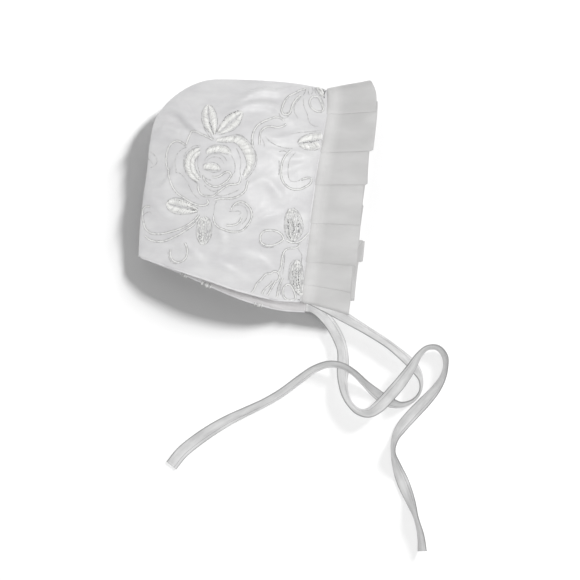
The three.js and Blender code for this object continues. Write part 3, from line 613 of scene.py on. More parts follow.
# The cloth as it was cut, in metres and square metres.
CUTS = [  # piece, width, length, area, how it is held, what it rests on, the side whose stitches are on it
    ("satin_right", 0.133, 0.182, 0.0185, "draped", ["inner_satin_right"], "right"),
    ("inner_satin_right", 0.132, 0.18, 0.018, "draped", ["inner_satin_left"], None),
    ("satin_left", 0.133, 0.182, 0.0185, "laid", [], "left"),
    ("inner_satin_left", 0.132, 0.18, 0.018, "laid", ["satin_left"], None),
    ("satin_band", 0.01, 0.31, 0.003, "folded", ["satin_right"], None),
    ("organza_ruffle", 0.036, 0.488, 0.0175, "gathered", ["satin_band"], None),
]

# The floor and the lights.
FLOOR_SIZE = 6.0
FLOOR_COLOR = (0.8, 0.8, 0.8)
SUNS = {  # strength, softness, azimuth and elevation in degrees
    "floor key": (3.4, 9, 41, 35),
    "soft floor key": (1.6, 12, 41, 28),
    "cloth key": (1.5, 18, -5, 76),
    "key of the ties": (1.5, 14, 30, 70),
}
WORLD_STRENGTH = 0.47

# Steps along curves.
CURVE_STEPS = 400
EDGE_STEPS = 2000
SHARE_STEPS = 1000
COLUMN_STEPS = 60
TANGENT_STEP = 2e-3
SMALL = 1e-3
TINY = 1e-12
RIPPLE_WAVES = 9
RIPPLE_SPREAD = (0.7, 1.5)


def mix(a, b, share):
    return a + (b - a) * share


def unit(vectors):
    return vectors / np.maximum(np.linalg.norm(vectors, axis=-1, keepdims=True), TINY)


def smoothstep(value, low, high):
    share = np.clip((value - low) / (high - low), 0, 1)
    return share * share * (3 - 2 * share)


class Curve:
    """A centripetal Catmull-Rom curve, with places on it counted by its points or by its length."""

    def __init__(self, points, divisions=CURVE_STEPS):
        points = np.array(points, float)
        self.points = np.vstack([2 * points[0] - points[1], points, 2 * points[-1] - points[-2]])
        self.spans = len(points) - 1
        self.places = np.linspace(0, 1, divisions + 1)
        steps = np.linalg.norm(np.diff(self.at(self.places), axis=0), axis=1)
        self.lengths = np.concatenate([[0], np.cumsum(steps)])
        self.length = self.lengths[-1]

    def at(self, place):
        place = np.clip(np.asarray(place, float), 0, 1) * self.spans
        span = np.minimum(place.astype(int), self.spans - 1)
        share = (place - span)[..., None]
        a, b, c, d = (self.points[span + k] for k in range(4))
        before, here, after = (
            np.sqrt(np.linalg.norm(q - p, axis=-1, keepdims=True)) for p, q in ((a, b), (b, c), (c, d))
        )
        start = ((b - a) / before - (c - a) / (before + here) + (c - b) / here) * here
        end = ((c - b) / here - (d - b) / (here + after) + (d - c) / after) * here
        square = -3 * b + 3 * c - 2 * start - end
        cube = 2 * b - 2 * c + start + end
        return b + start * share + square * share**2 + cube * share**3

    def along(self, share):
        return self.at(np.interp(np.asarray(share, float) * self.length, self.lengths, self.places))

    def tangent(self, share, step=TANGENT_STEP):
        share = np.asarray(share, float)
        return unit(self.along(np.minimum(share + step, 1)) - self.along(np.maximum(share - step, 0)))


def smooth_column(rows, column):
    """The value of a table's column on a smooth curve through its rows."""
    samples = Curve([(row[0], row[column]) for row in rows]).at(np.linspace(0, 1, COLUMN_STEPS + 1))
    return lambda at: np.interp(at, samples[:, 0], samples[:, 1])


def ripples(x, y, spacing, seed):
    """Soft random unevenness, mostly within -1 to 1, with rises about the spacing apart."""
    chance = np.random.default_rng(seed)
    angle = chance.uniform(0, 2 * np.pi, RIPPLE_WAVES)
    pitch = 2 * np.pi / (spacing * chance.uniform(*RIPPLE_SPREAD, RIPPLE_WAVES))
    phase = chance.uniform(0, 2 * np.pi, RIPPLE_WAVES)
    total = 0
    for k in range(RIPPLE_WAVES):
        total = total + np.sin((x * np.cos(angle[k]) + y * np.sin(angle[k])) * pitch[k] + phase[k])
    return total / np.sqrt(RIPPLE_WAVES)


# The two sides of the bonnet.


def plan(face_edge, neck_edge):
    """A side seen from above: u from the face edge to the centre seam, v from the top to the neck edge."""
    seam, face, neck = Curve(CENTRE_SEAM), Curve(face_edge), Curve(neck_edge)
    corner, nape = face.at(1), neck.at(1)

    def place(u, v):
        across, down = u[..., None], v[..., None]
        between = (1 - across) * face.along(v) + across * seam.along(v) + down * neck.along(u)
        return between - (1 - across) * down * corner - across * down * nape

    return place


seam_height = smooth_column(SEAM_HEIGHTS, 1)
face_edge_height = smooth_column(RIGHT_SIDE_HEIGHTS, 1)
fullness = smooth_column(RIGHT_SIDE_HEIGHTS, 2)
right_plan = plan(RIGHT_FACE_EDGE, RIGHT_NECK_EDGE)
left_plan = plan(LEFT_FACE_EDGE, LEFT_NECK_EDGE)


def fold_depth(x, y):
    depth = 0
    for fold_x, fold_y, turn, length, width, deep in FOLDS:
        turn = np.radians(turn)
        along = (x - fold_x) * np.cos(turn) + (y - fold_y) * np.sin(turn)
        across = (y - fold_y) * np.cos(turn) - (x - fold_x) * np.sin(turn)
        depth = depth + deep * np.exp(-((along / length) ** 2) - (across / width) ** 2)
    return depth


def flowing_folds(folds, x, y):
    """How far flowing folds raise the cloth."""
    share = np.linspace(0, 1, FLOW_SAMPLES)
    ends = np.sin(np.pi * mix(*FLOW_ENDS, share)) ** FLOW_TAPER
    total = 0
    for height, left_width, right_width, line in folds:
        curve = Curve(line)
        way = curve.tangent(share)
        from_line = np.stack([x, y], -1)[..., None, :] - curve.along(share)
        nearest = np.argmin((from_line**2).sum(-1), axis=-1)
        away = np.take_along_axis(from_line, nearest[..., None, None], -2)[..., 0, :]
        way = way[nearest]
        across = way[..., 0] * away[..., 1] - way[..., 1] * away[..., 0]
        beyond = np.abs((way * away).sum(-1))
        width = np.where(across > 0, left_width, right_width) * FLOW_WIDTH
        fading = np.exp(-((across / width) ** 2) - (beyond / left_width) ** 2)
        total = total + height * FLOW_HEIGHT * ends[nearest] * fading
    return total


def right_surface(u, v):
    """The outside of the upper side."""
    place = right_plan(u, v)
    rise = np.sin(np.pi * (1 - u) ** FULLNESS_LEAN).clip(0) ** FULLNESS_ROUNDNESS
    margins = np.prod([np.minimum(1, part / FOLD_MARGIN) for part in (1 - u, u, v)], axis=0)
    seam = seam_height(v) + SEAM_GAP / 2
    height = mix(face_edge_height(v), seam, u) + fullness(v) * rise
    height = height - fold_depth(place[..., 0], place[..., 1]) * margins
    return np.concatenate([place, height[..., None]], -1)


def left_surface(u, v):
    """The outside of the lower side, which lies on the floor."""
    place = left_plan(u, v)
    from_seam = np.linalg.norm(place - left_plan(np.ones_like(u), v), axis=-1)
    from_face = np.linalg.norm(place - left_plan(np.zeros_like(u), v), axis=-1)
    level = 1 - np.sin(np.pi / 2 * np.minimum(1, from_seam / TABLE_ROUNDING))
    lift = EDGE_LIFT * np.maximum(0, 1 - from_face / EDGE_LIFT_WIDTH) ** 2
    height = np.maximum((seam_height(v) - SEAM_GAP / 2) * level, lift)
    return np.concatenate([place, height[..., None]], -1)


def inward(surface, up, u, v):
    """The way into the cloth from the outside of a side. At the centre seam it lies level."""
    along_u = surface(np.minimum(u + SMALL, 1), v) - surface(np.maximum(u - SMALL, 0), v)
    along_v = surface(u, np.minimum(v + SMALL, 1)) - surface(u, np.maximum(v - SMALL, 0))
    normal = np.cross(along_u, along_v)
    normal[u == 0, 0] = 0
    normal = unit(normal)
    over_seam = np.abs(surface(u, v)[..., 2] - seam_height(v)) - SEAM_GAP / 2
    level = np.minimum(np.abs(normal[..., 2]), np.maximum(0, over_seam) / (SEAM_ROUNDING * WALL))[..., None]
    way = np.concatenate([unit(normal[..., :2]) * np.sqrt(1 - level**2), level], -1) * (-1 if up else 1)
    square = np.stack([-along_v[..., 1], along_v[..., 0], np.zeros(u.shape)], -1)
    way[u == 1] = unit(square[u == 1])
    return way


# Meshes.


def grid_faces(rows, columns, closed=False):
    """Faces between rows of points. Closed joins each row's last point to its first."""
    index = np.arange(rows * columns).reshape(rows, columns)
    if closed:
        index = np.concatenate([index, index[:, :1]], 1)
    a, b, c, d = index[:-1, :-1], index[1:, :-1], index[1:, 1:], index[:-1, 1:]
    return np.stack([a, b, c, d], -1).reshape(-1, 4)


def ply(above, below):
    """A closed ply of cloth between an upper and a lower grid of points."""
    rows, columns = above.shape[:2]
    count = rows * columns
    top = np.arange(count).reshape(rows, columns)
    rim = np.concatenate([top[:-1, 0], top[-1, :-1], top[:0:-1, -1], top[0, :0:-1]])
    after = np.roll(rim, -1)
    walls = np.stack([after, rim, rim + count, after + count], -1)
    faces = np.concatenate([grid_faces(rows, columns), grid_faces(rows, columns)[:, ::-1] + count, walls])
    return np.concatenate([above.reshape(-1, 3), below.reshape(-1, 3)]), faces


def tubes(centres, out, wide, high, sides=6):
    """Tubes along rows of centres. out is the way off the cloth; wide and high are half the sizes."""
    tangent = unit(np.gradient(centres, axis=-2))
    side = unit(np.cross(tangent, out))
    out = unit(np.cross(side, tangent))
    angle = np.arange(sides) * 2 * np.pi / sides
    ring = centres[..., None, :]
    ring = ring + side[..., None, :] * (wide[..., None] * np.cos(angle))[..., None]
    ring = ring + out[..., None, :] * (high[..., None] * np.sin(angle))[..., None]
    ring = ring.reshape(-1, centres.shape[-2] * sides, 3)
    faces = grid_faces(centres.shape[-2], sides, closed=True)[:, ::-1]
    last = np.arange(sides) + (centres.shape[-2] - 1) * sides
    caps = [np.arange(sides).tolist(), last[::-1].tolist()]
    return ring, faces, caps


def make(name, points, faces, material, smooth=True, cloth_mm=None):
    """A mesh object from points in millimetres, with its places on the flat cloth if they are given."""
    mesh = bpy.data.meshes.new(name)
    mesh.from_pydata((np.asarray(points) * MM).tolist(), [], [list(face) for face in faces])
    mesh.validate()
    if smooth:
        mesh.shade_smooth()
    if cloth_mm is not None:
        flat = np.zeros((len(points), 3))
        flat[:, :2] = cloth_mm
        mesh.attributes.new("cloth_mm", "FLOAT_VECTOR", "POINT").data.foreach_set("vector", flat.ravel())
    piece = bpy.data.objects.new(name, mesh)
    bpy.context.scene.collection.objects.link(piece)
    mesh.materials.append(material)
    return piece


def finish_piece(piece, replaced=()):
    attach(piece, "root")
    if replaced:
        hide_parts(*replaced)
    return piece


# Materials.


def add_node(tree, kind, values, **settings):
    """A node whose inputs are set, or linked where the value is another node's output."""
    node = tree.nodes.new(kind)
    for key, value in settings.items():
        setattr(node, key, value)
    for name, value in values.items():
        if isinstance(value, bpy.types.NodeSocket):
            tree.links.new(value, node.inputs[name])
        else:
            node.inputs[name].default_value = value
    return node


def new_material(name, color, roughness, sheen=0.0, alpha=1.0, specular=0.5):
    material = bpy.data.materials.new(name)
    material.use_nodes = True
    shader = material.node_tree.nodes["Principled BSDF"]
    shader.inputs["Base Color"].default_value = (*color, 1)
    shader.inputs["Roughness"].default_value = roughness
    shader.inputs["Sheen Weight"].default_value = sheen
    shader.inputs["Sheen Roughness"].default_value = SHEEN_ROUGHNESS
    shader.inputs["Specular IOR Level"].default_value = specular
    shader.inputs["Alpha"].default_value = alpha
    return material, material.node_tree, shader


def places(tree, stretch=(1, 1, 1), turn=0.0, attribute=None):
    """Places on the cloth in metres, or in millimetres along a tie, turned and stretched."""
    if attribute:
        source = add_node(tree, "ShaderNodeAttribute", {}, attribute_name=attribute).outputs["Vector"]
    else:
        source = add_node(tree, "ShaderNodeTexCoord", {}).outputs["Object"]
    values = {"Vector": source, "Scale": stretch, "Rotation": (0, 0, np.radians(turn))}
    return add_node(tree, "ShaderNodeMapping", values).outputs["Vector"]


def tones(tree, factor, stops):
    """A colour from a factor. Each stop is a position and the colour there."""
    ramp = add_node(tree, "ShaderNodeValToRGB", {"Fac": factor})
    while len(ramp.color_ramp.elements) < len(stops):
        ramp.color_ramp.elements.new(RAMP_MIDDLE)
    for element, (position, color) in zip(ramp.color_ramp.elements, stops):
        element.position = position
        element.color = (*color, 1)
    return ramp.outputs["Color"]


def clouds(tree, shader, vector, scale, dark, light):
    """Soft patches from a darker to a lighter colour."""
    noise = add_node(tree, "ShaderNodeTexNoise", {"Vector": vector, "Scale": scale, "Detail": CLOUD_DETAIL})
    color = tones(tree, noise.outputs["Fac"], [(CLOUD_RANGE[0], dark), (CLOUD_RANGE[1], light)])
    tree.links.new(color, shader.inputs["Base Color"])


def banded(tree, shader, axis, low, high, bands):
    """Multiplies the colour by bands. Each is a share of the way from low to high, and the tone there."""
    source = add_node(tree, "ShaderNodeAttribute", {}, attribute_name="cloth_mm").outputs["Vector"]
    parts = add_node(tree, "ShaderNodeSeparateXYZ", {"Vector": source})
    values = {"Value": parts.outputs[axis], "From Min": low, "From Max": high}
    share = add_node(tree, "ShaderNodeMapRange", values).outputs["Result"]
    product = add_node(tree, "ShaderNodeMix", {"Factor": 1.0}, data_type="RGBA", blend_type="MULTIPLY")
    first, second = (socket for socket in product.inputs if socket.type == "RGBA")
    (result,) = (socket for socket in product.outputs if socket.type == "RGBA")
    tree.links.new(shader.inputs["Base Color"].links[0].from_socket, first)
    tree.links.new(tones(tree, share, [(position, (tone,) * 3) for position, tone in bands]), second)
    tree.links.new(result, shader.inputs["Base Color"])


def bump(tree, shader, *layers):
    """Bumps one over the other. A layer has its height, how high it stands in metres, and its strength."""
    normal = {}
    for layer in layers:
        normal = {"Normal": add_node(tree, "ShaderNodeBump", {**layer, **normal}).outputs["Normal"]}
    tree.links.new(normal["Normal"], shader.inputs["Normal"])


def weave(tree, vector, scale, across=6.0):
    """Fine threads that run one way."""
    stretched = add_node(tree, "ShaderNodeMapping", {"Vector": vector, "Scale": (1, across, 1)})
    noise = add_node(tree, "ShaderNodeTexNoise", {"Vector": stretched.outputs["Vector"], "Scale": scale})
    return noise.outputs["Fac"]


def net(tree, vector, scale):
    """The meshes of a fine net."""
    cells = {"Vector": vector, "Scale": scale, "Randomness": 0.35}
    away = add_node(tree, "ShaderNodeTexVoronoi", cells, feature="DISTANCE_TO_EDGE").outputs["Distance"]
    threads = {"Value": away, "From Min": 0.06, "From Max": 0.16, "To Min": 1.0, "To Max": 0.0}
    return add_node(tree, "ShaderNodeMapRange", threads).outputs["Result"]


def netted_satin():
    color, dark, light = (0.8, 0.8, 0.81), (0.742, 0.737, 0.748), (0.83, 0.828, 0.832)
    material, tree, shader = new_material("embroidered satin", color, roughness=0.38, sheen=SHEEN)
    vector = places(tree)
    # The darker and lighter patches are painted sheen, the satin's cloudy highlights.
    clouds(tree, shader, places(tree, stretch=(1, 2.6, 1), turn=24), scale=40.0, dark=dark, light=light)
    satin = {"Height": weave(tree, vector, scale=1600.0), "Distance": 0.00003, "Strength": 0.5}
    meshes = {"Height": net(tree, vector, scale=900.0), "Distance": 0.00008, "Strength": 0.35}
    bump(tree, shader, satin, meshes)
    return material


def smooth_satin(name, dark, light, roughness):
    material, tree, shader = new_material(name, light, roughness, sheen=SHEEN)
    vector = places(tree)
    clouds(tree, shader, vector, scale=60.0, dark=dark, light=light)
    satin = weave(tree, vector, scale=1800.0, across=8.0)
    bump(tree, shader, {"Height": satin, "Distance": 0.00003, "Strength": 0.5})
    return material


def organza():
    color, dark, light = (0.72, 0.72, 0.71), (0.79, 0.785, 0.78), (0.87, 0.865, 0.86)
    material, tree, shader = new_material("organza", color, roughness=0.6, sheen=0.2, alpha=0.86)
    vector = places(tree)
    clouds(tree, shader, places(tree, stretch=(0.4, 1, 1)), scale=90.0, dark=dark, light=light)
    banded(tree, shader, "Y", 0, ORGANZA_REACH, ORGANZA_BANDS)
    threads = add_node(tree, "ShaderNodeTexChecker", {"Vector": vector, "Scale": 3000.0})
    fine = {"Height": threads.outputs["Fac"], "Distance": 0.00003, "Strength": 0.3}
    slubs = {"Height": weave(tree, vector, scale=900.0, across=0.2), "Distance": 0.00005, "Strength": 0.4}
    bump(tree, shader, fine, slubs)
    return material


def tie_satin():
    color, dark, light = (0.7,) * 3, (0.65,) * 3, (0.82,) * 3
    material, tree, shader = new_material("tie satin", color, roughness=0.4, sheen=SHEEN)
    along = places(tree, stretch=(0.3, 1, 1), attribute="cloth_mm")
    clouds(tree, shader, along, scale=0.22, dark=dark, light=light)
    # Painted shade darkens the tie's folded edges and the groove of its sewn line.
    banded(tree, shader, "Y", -TIE_WIDTH / 2, TIE_WIDTH / 2, TIE_PAINTED_SHADE)
    slanted = weave(tree, places(tree, turn=45, attribute="cloth_mm"), scale=2.0, across=5.0)
    bump(tree, shader, {"Height": slanted, "Distance": 0.00004, "Strength": 0.5})
    return material


def thread(name):
    """Thread that differs from stitch to stitch."""
    dull, color, dull_share, roughness = THREADS[name]
    material, tree, shader = new_material(name, color, roughness, sheen=SHEEN)
    chance = add_node(tree, "ShaderNodeNewGeometry", {}).outputs["Random Per Island"]
    stops = [(dull_share, dull), (dull_share + DULL_BLEND, color)]
    tree.links.new(tones(tree, chance, stops), shader.inputs["Base Color"])
    fibres = weave(tree, places(tree), scale=2500.0, across=2.0)
    bump(tree, shader, {"Height": fibres, "Distance": 0.00003, "Strength": 0.6})
    return material


SATIN = netted_satin()
BAND_SATIN = smooth_satin("band satin", (0.8, 0.795, 0.805), (0.84, 0.835, 0.845), roughness=0.42)
# The lining's slight pink is its own; its darker tone is painted shade of the gap under the upper side's
# neck hem.
LINING_SATIN = smooth_satin("lining satin", (0.7, 0.685, 0.69), (0.78, 0.765, 0.77), roughness=0.4)
ORGANZA = organza()
TIE_SATIN = tie_satin()
WHITE_THREAD = thread("white thread")
SEED_THREAD = thread("seed thread")
GAP_SHADE_THREAD = thread("shade thread")
CORD_THREAD = thread("cord thread")
SHADE_THREAD = thread("outline shade thread")

# The camera.
camera_data = bpy.data.cameras.new("camera")
camera_data.lens = camera_data.sensor_width * (CAMERA_HEIGHT - PICTURE_PLANE) / VIEW_WIDTH
camera = bpy.data.objects.new("camera", camera_data)
camera.location = (VIEW_CENTRE[0] * MM, VIEW_CENTRE[1] * MM, CAMERA_HEIGHT * MM)
bpy.context.scene.collection.objects.link(camera)
bpy.context.scene.camera = camera

# The ties.


def tie_section():
    """The ribbon's outline: over its upper side to the folded edge, and back under it."""
    upper = TIE_SECTION
    lower = [(across, -height) for across, height in TIE_SECTION[:0:-1]]
    return np.array([*upper, (1, 0), *lower])


def make_tie(name, rows):
    """A tie along its route, rolled as the table says, and where its middle runs."""
    table = np.array(rows, float)
    route = Curve(table[:, :2])
    count = np.arange(len(table))
    lows = Curve(np.column_stack([count, table[:, 2]]))
    rolls = Curve(np.column_stack([count, table[:, 3]]))

    def centre(place):
        roll = np.radians(rolls.at(place)[..., 1])
        half = np.abs(np.sin(roll)) * TIE_WIDTH / 2 + np.cos(roll) * TIE_THICKNESS / 2
        height = np.maximum(0, lows.at(place)[..., 1]) + half + TABLE_GAP
        return np.concatenate([route.at(place), height[..., None]], -1), roll

    place = np.linspace(0, 1, TIE_RINGS)
    middle, roll = centre(place)
    middle[0] -= unit(middle[1] - middle[0]) * SEWN_IN
    tangent = unit(np.gradient(middle[:, :2], axis=0))
    side = np.column_stack([tangent[:, 1], -tangent[:, 0], np.zeros(TIE_RINGS)])
    cos, sin = np.cos(roll)[:, None], np.sin(roll)[:, None]
    width = side * cos + UP * sin
    thick = UP * cos - side * sin
    section = tie_section()
    across = section[:, 0] * TIE_WIDTH / 2
    over = section[:, 1] * TIE_THICKNESS / 2
    rings = middle[:, None] + width[:, None] * across[:, None] + thick[:, None] * over[:, None]
    along = np.concatenate([[0], np.cumsum(np.linalg.norm(np.diff(middle, axis=0), axis=1))])
    flat = np.stack([np.repeat(along, len(section)), np.tile(across, TIE_RINGS)], -1)
    last = np.arange(len(section)) + (TIE_RINGS - 1) * len(section)
    faces = [*grid_faces(TIE_RINGS, len(section), closed=True)[:, ::-1].tolist()]
    faces += [np.arange(len(section)).tolist(), last[::-1].tolist()]
    tie = make(name, rings.reshape(-1, 3), faces, TIE_SATIN, cloth_mm=flat)
    points, _ = centre(np.linspace(0, 1, len(table)))
    return tie, points * MM, along[-1] * MM


for name, node, rows in (("ribbon_right", "tie_right", RIGHT_TIE), ("ribbon_left", "tie_left", LEFT_TIE)):
    tie, path, length = make_tie(name, rows)
    finish_piece(tie, [node])

# The side panels and their linings.


def cloth_relief(surface, u, v):
    """How far the satin stands out from its smooth form: soft waves, and puckers at the sewn edges."""
    point = surface(u, v)
    x, y = point[..., 0], point[..., 1]
    from_face = np.linalg.norm(point[..., :2] - surface(np.zeros_like(u), v)[..., :2], axis=-1)
    from_seam = np.linalg.norm(point[..., :2] - surface(np.ones_like(u), v)[..., :2], axis=-1)
    soft = smoothstep(from_face, 0, RELIEF_FROM_FACE) * smoothstep(from_seam, 0, RELIEF_FROM_SEAM)
    waves = sum(height * ripples(x, y, spacing, seed) for spacing, height, seed in SOFT_WAVES)
    relief = (waves + flowing_folds(FLOWING_FOLDS, x, y) - MEAN_FOLD) * soft
    drift = ripples(x, y, PUCKER_DRIFT_SPACING, PUCKER_SEED) * PUCKER_DRIFT
    pucker = 0
    for run, away in ((y, from_face), (np.where(y > SEAM_TURN, x, y), from_seam)):
        pucker = pucker + np.sin(2 * np.pi * run / PUCKER_SPACING + drift) * np.exp(-away / PUCKER_REACH)
    edge = smoothstep(from_face, *PUCKER_FROM_FACE) * smoothstep(from_seam, *PUCKER_FROM_SEAM)
    return relief + PUCKER_HEIGHT * pucker * edge


def side_grid(surface, up):
    share = 1 - (1 - np.linspace(0, 1, ACROSS_STEPS + 1)) ** SEAM_CROWDING
    drop = mix(TOP_START, 1, np.linspace(0, 1, DOWN_STEPS + 1))
    u, v = np.meshgrid(share, drop, indexing="ij")
    return u, v, surface(u, v), inward(surface, up, u, v)


inner_face = WALL - LINING_EASE
u, v, right_outside, right_in = side_grid(right_surface, True)
right_relief = cloth_relief(right_surface, u, v)[..., None]
right_shown = right_outside - right_in * right_relief
panel = make("satin_right", *ply(right_shown, right_outside + right_in * PANEL_PLY), SATIN)
finish_piece(panel, ["side_panel_right"])
inside = CLOTH + PLY_GAP
lining_plies = ply(right_outside + right_in * inside, right_outside + right_in * inner_face)
finish_piece(make("inner_satin_right", *lining_plies, LINING_SATIN), ["lining_right"])

u, v, left_outside, left_in = side_grid(left_surface, False)
left_shown = left_outside + left_in * LEFT_ROOM
panel = make("satin_left", *ply(left_outside + left_in * (LEFT_ROOM + LEFT_PLY), left_shown), SATIN)
finish_piece(panel, ["side_panel_left"])
lining_folds = flowing_folds(LINING_FOLDS, left_outside[..., 0], left_outside[..., 1])[..., None]
lining_plies = ply(left_outside + left_in * (inner_face + lining_folds), left_outside + left_in * inside)
finish_piece(make("inner_satin_left", *lining_plies, LINING_SATIN), ["lining_left"])


# The face edge, which the band and the ruffle follow.


def face_edge():
    shares = np.array(EDGE_SHARES, float)
    zero = np.zeros_like(shares)
    left = left_surface(zero, shares) + inward(left_surface, False, zero, shares) * WALL / 2
    right = right_surface(zero, shares) + inward(right_surface, True, zero, shares) * WALL / 2
    top = np.array([*right_plan(np.zeros(1), np.zeros(1))[0], 0]) + (0, -WALL / 2, seam_height(0))
    return Curve([*left, top, *right[::-1]], divisions=EDGE_STEPS)


edge = face_edge()


def share_at(half, drop):
    """Where on the face edge one half of it lies this far below the crown."""
    shares = np.linspace(CROWN, 0 if half == "left" else 1, SHARE_STEPS)
    drops = edge.at(CROWN)[1] - edge.along(shares)[:, 1]
    return np.interp(drop, drops, shares)


left_end = share_at("left", LEFT_BAND_DROP)


def edge_frame(share):
    """The point, the way the ruffle points and the way out of the bonnet."""
    at = (share - CROWN) / CROWN
    fan = np.array(FAN)
    reach = np.stack([np.interp(at, fan[:, 0], fan[:, 1]), np.interp(at, fan[:, 0], fan[:, 2]), 0 * at], -1)
    out = unit(np.cross(edge.tangent(share, SMALL), reach))
    return edge.along(share), unit(reach), out


# The band and the ruffle on it.


def band_point(share, across, over):
    point, reach, out = edge_frame(share)
    return point + reach * (JOIN_GAP + across)[..., None] + out * over[..., None]


def make_band():
    turn = np.linspace(-1, 1, BAND_RINGS)
    half = np.where(turn < 0, CROWN - left_end, CROWN)
    share = CROWN + np.sign(turn) * np.abs(turn) ** BAND_CROWDING * half
    angle = np.arange(BAND_SIDES) * 2 * np.pi / BAND_SIDES
    share, angle = np.meshgrid(share, angle, indexing="ij")
    shape = np.sign(np.cos(angle)) * np.abs(np.cos(angle)) ** BAND_SQUARENESS
    across = mix(-BAND_OVERLAP, BAND_WIDTH, (1 + shape) / 2)
    thickness = mix(BAND_SHOWN_THICKNESS, BAND_THICKNESS, smoothstep(across, 0, BAND_WIDTH))
    drift = ripples(share * BAND_GRAIN, share, BAND_DRIFT_SPACING, BAND_SEED)
    puff = 1 + BAND_PUFF * np.sin(share * edge.length * 2 * np.pi / BAND_PUFF_SPACING + drift)
    over = thickness / 2 * np.sign(np.sin(angle)) * np.abs(np.sin(angle)) ** BAND_SQUARENESS * puff
    points = band_point(share, across, over).reshape(-1, 3)
    last = np.arange(BAND_SIDES) + (BAND_RINGS - 1) * BAND_SIDES
    faces = grid_faces(BAND_RINGS, BAND_SIDES, closed=True).tolist()
    faces += [np.arange(BAND_SIDES)[::-1].tolist(), last.tolist()]
    return make("satin_band", points, faces, BAND_SATIN)


finish_piece(make_band(), ["face_band"])


def half_turn(place, top, bottom, side):
    """A fold between two heights, round on the side that is +1 or -1."""
    angle = np.linspace(0, np.pi, FOLD_STEPS + 1)[1:-1]
    radius = (top - bottom) / 2
    return np.column_stack([place + side * radius * np.sin(angle), bottom + radius + radius * np.cos(angle)])


def pleat_section():
    """The ruffle's section: place along the face edge, height over it, and the hem's reach there."""
    rows = []
    start = left_end * edge.length
    for i, (half, drop, reach_start, reach_end, under) in enumerate(PLEATS):
        last = i == len(PLEATS) - 1
        fold = edge.length if last else share_at(half, drop) * edge.length
        count = max(2, int(np.ceil((fold - start) / PLEAT_GRAIN)))
        share = np.linspace(0, 1, count + 1)
        rise = PLEAT_LIFT * share
        rows.append(np.column_stack([mix(start, fold, share), rise, mix(reach_start, reach_end, share)]))
        if last:
            break
        reach_next = PLEATS[i + 1][2]
        turns = mix(reach_end, reach_next, np.array([FOLD_SHARE, 2 * FOLD_SHARE]))
        outer = half_turn(fold, PLEAT_LIFT, PLEAT_LIFT - PLEAT_STEP, 1)
        rows.append(np.column_stack([outer, np.full(len(outer), turns[0])]))
        back = fold - under
        share = np.linspace(0, 1, max(2, int(under / PLEAT_GRAIN)) + 1)
        fall = mix(PLEAT_LIFT - PLEAT_STEP, PLEAT_LIFT - 2 * PLEAT_STEP, share)
        rows.append(np.column_stack([mix(fold, back, share), fall, mix(*turns, share)]))
        inner = half_turn(back, PLEAT_LIFT - 2 * PLEAT_STEP, 0, -1)
        rows.append(np.column_stack([inner, np.full(len(inner), turns[1])]))
        start = back
    return np.concatenate(rows)


def make_ruffle():
    section = pleat_section()
    path = section[:, :2] - (0, PLEAT_LIFT / 2)
    tangent = unit(np.gradient(path, axis=0))
    across = np.column_stack([-tangent[:, 1], tangent[:, 0]]) * RUFFLE_PLY / 2
    along = np.linspace(0, 1, REACH_STEPS + 1)
    grids = []
    for sign in (1, -1):
        place = path + across * sign
        share = np.clip(place[:, 0] / edge.length, left_end, 1)
        point, reach, out = edge_frame(share)
        droop = HEM_DROOP * smoothstep(share, *DROOP_SHARES)
        puff = CROWN_PUFF * np.exp(-(((share - CROWN) / CROWN_PUFF_SHARE) ** 2))
        crown = np.exp(-(((share - CROWN) / CROWN_SHARE) ** 2))[:, None]
        far = RUFFLE_START + (section[:, 2:] + REACH_START - RUFFLE_START - CROWN_ROUNDING * crown) * along
        uneven = ripples(section[:, :1] + 0 * along, far, RUFFLE_WAVE_SPACING, RUFFLE_WAVE_SEED)
        wave = RUFFLE_WAVE * along * uneven
        pressed = mix(*PRESSED, smoothstep(along, 0, PRESSED_SHARE))
        falling = smoothstep(far, *(BAND_WIDTH * part for part in COVER_FALL))
        over = BAND_COVER * (smoothstep(far, *COVER_RISE) - falling) * (1 - crown)
        lift = path[:, 1:] * pressed + (place - path)[:, 1:] + puff[:, None] + wave + over
        grid = point[:, None] + reach[:, None] * far[..., None] + out[:, None] * lift[..., None]
        grid[..., 2] -= droop[:, None] * along**2
        grids.append(grid)
    cloth = np.stack([np.broadcast_to(section[:, :1], far.shape), far], -1).reshape(-1, 2)
    return make("organza_ruffle", *ply(*grids), ORGANZA, cloth_mm=np.concatenate([cloth, cloth]))


finish_piece(make_ruffle(), ["ruffle"])

# The hems.


class Threads:
    """Tubes gathered into one mesh."""

    def __init__(self):
        self.points, self.faces, self.count = [], [], 0

    def add(self, centres, out, wide, high, sides=6):
        """Tubes along rows of centres: an array of tubes, points and coordinates."""
        points, faces, caps = tubes(centres, out, wide, high, sides)
        size = points.shape[1]
        starts = self.count + np.arange(len(points)) * size
        self.points.append(points.reshape(-1, 3))
        for start in starts:
            self.faces += (faces + start).tolist()
            self.faces += [(np.array(cap) + start).tolist() for cap in caps]
        self.count += len(points) * size

    def piece(self, name, material, slot):
        return finish_piece(make(name, np.concatenate(self.points), self.faces, material))


def make_hem(side, surface, up):
    u = np.linspace(*HEM_SPAN, HEM_RINGS)
    v = np.ones_like(u)
    way = inward(surface, up, u, v)
    centre = surface(u, v) + way * (WALL / 2 + (0 if up else HEM_DROP))
    uneven = 1 + HEM_UNEVENNESS * ripples(u * HEM_GRAIN, u, HEM_WAVE_SPACING, HEM_SEEDS[side])
    radius = (HEM_RADIUS * uneven)[None]
    hem = Threads()
    hem.add(centre[None], -way[None], radius * HEM_FLATNESS, radius, HEM_SIDES)
    return hem.piece(f"neck_hem_{side}", BAND_SATIN, EMBROIDERED)


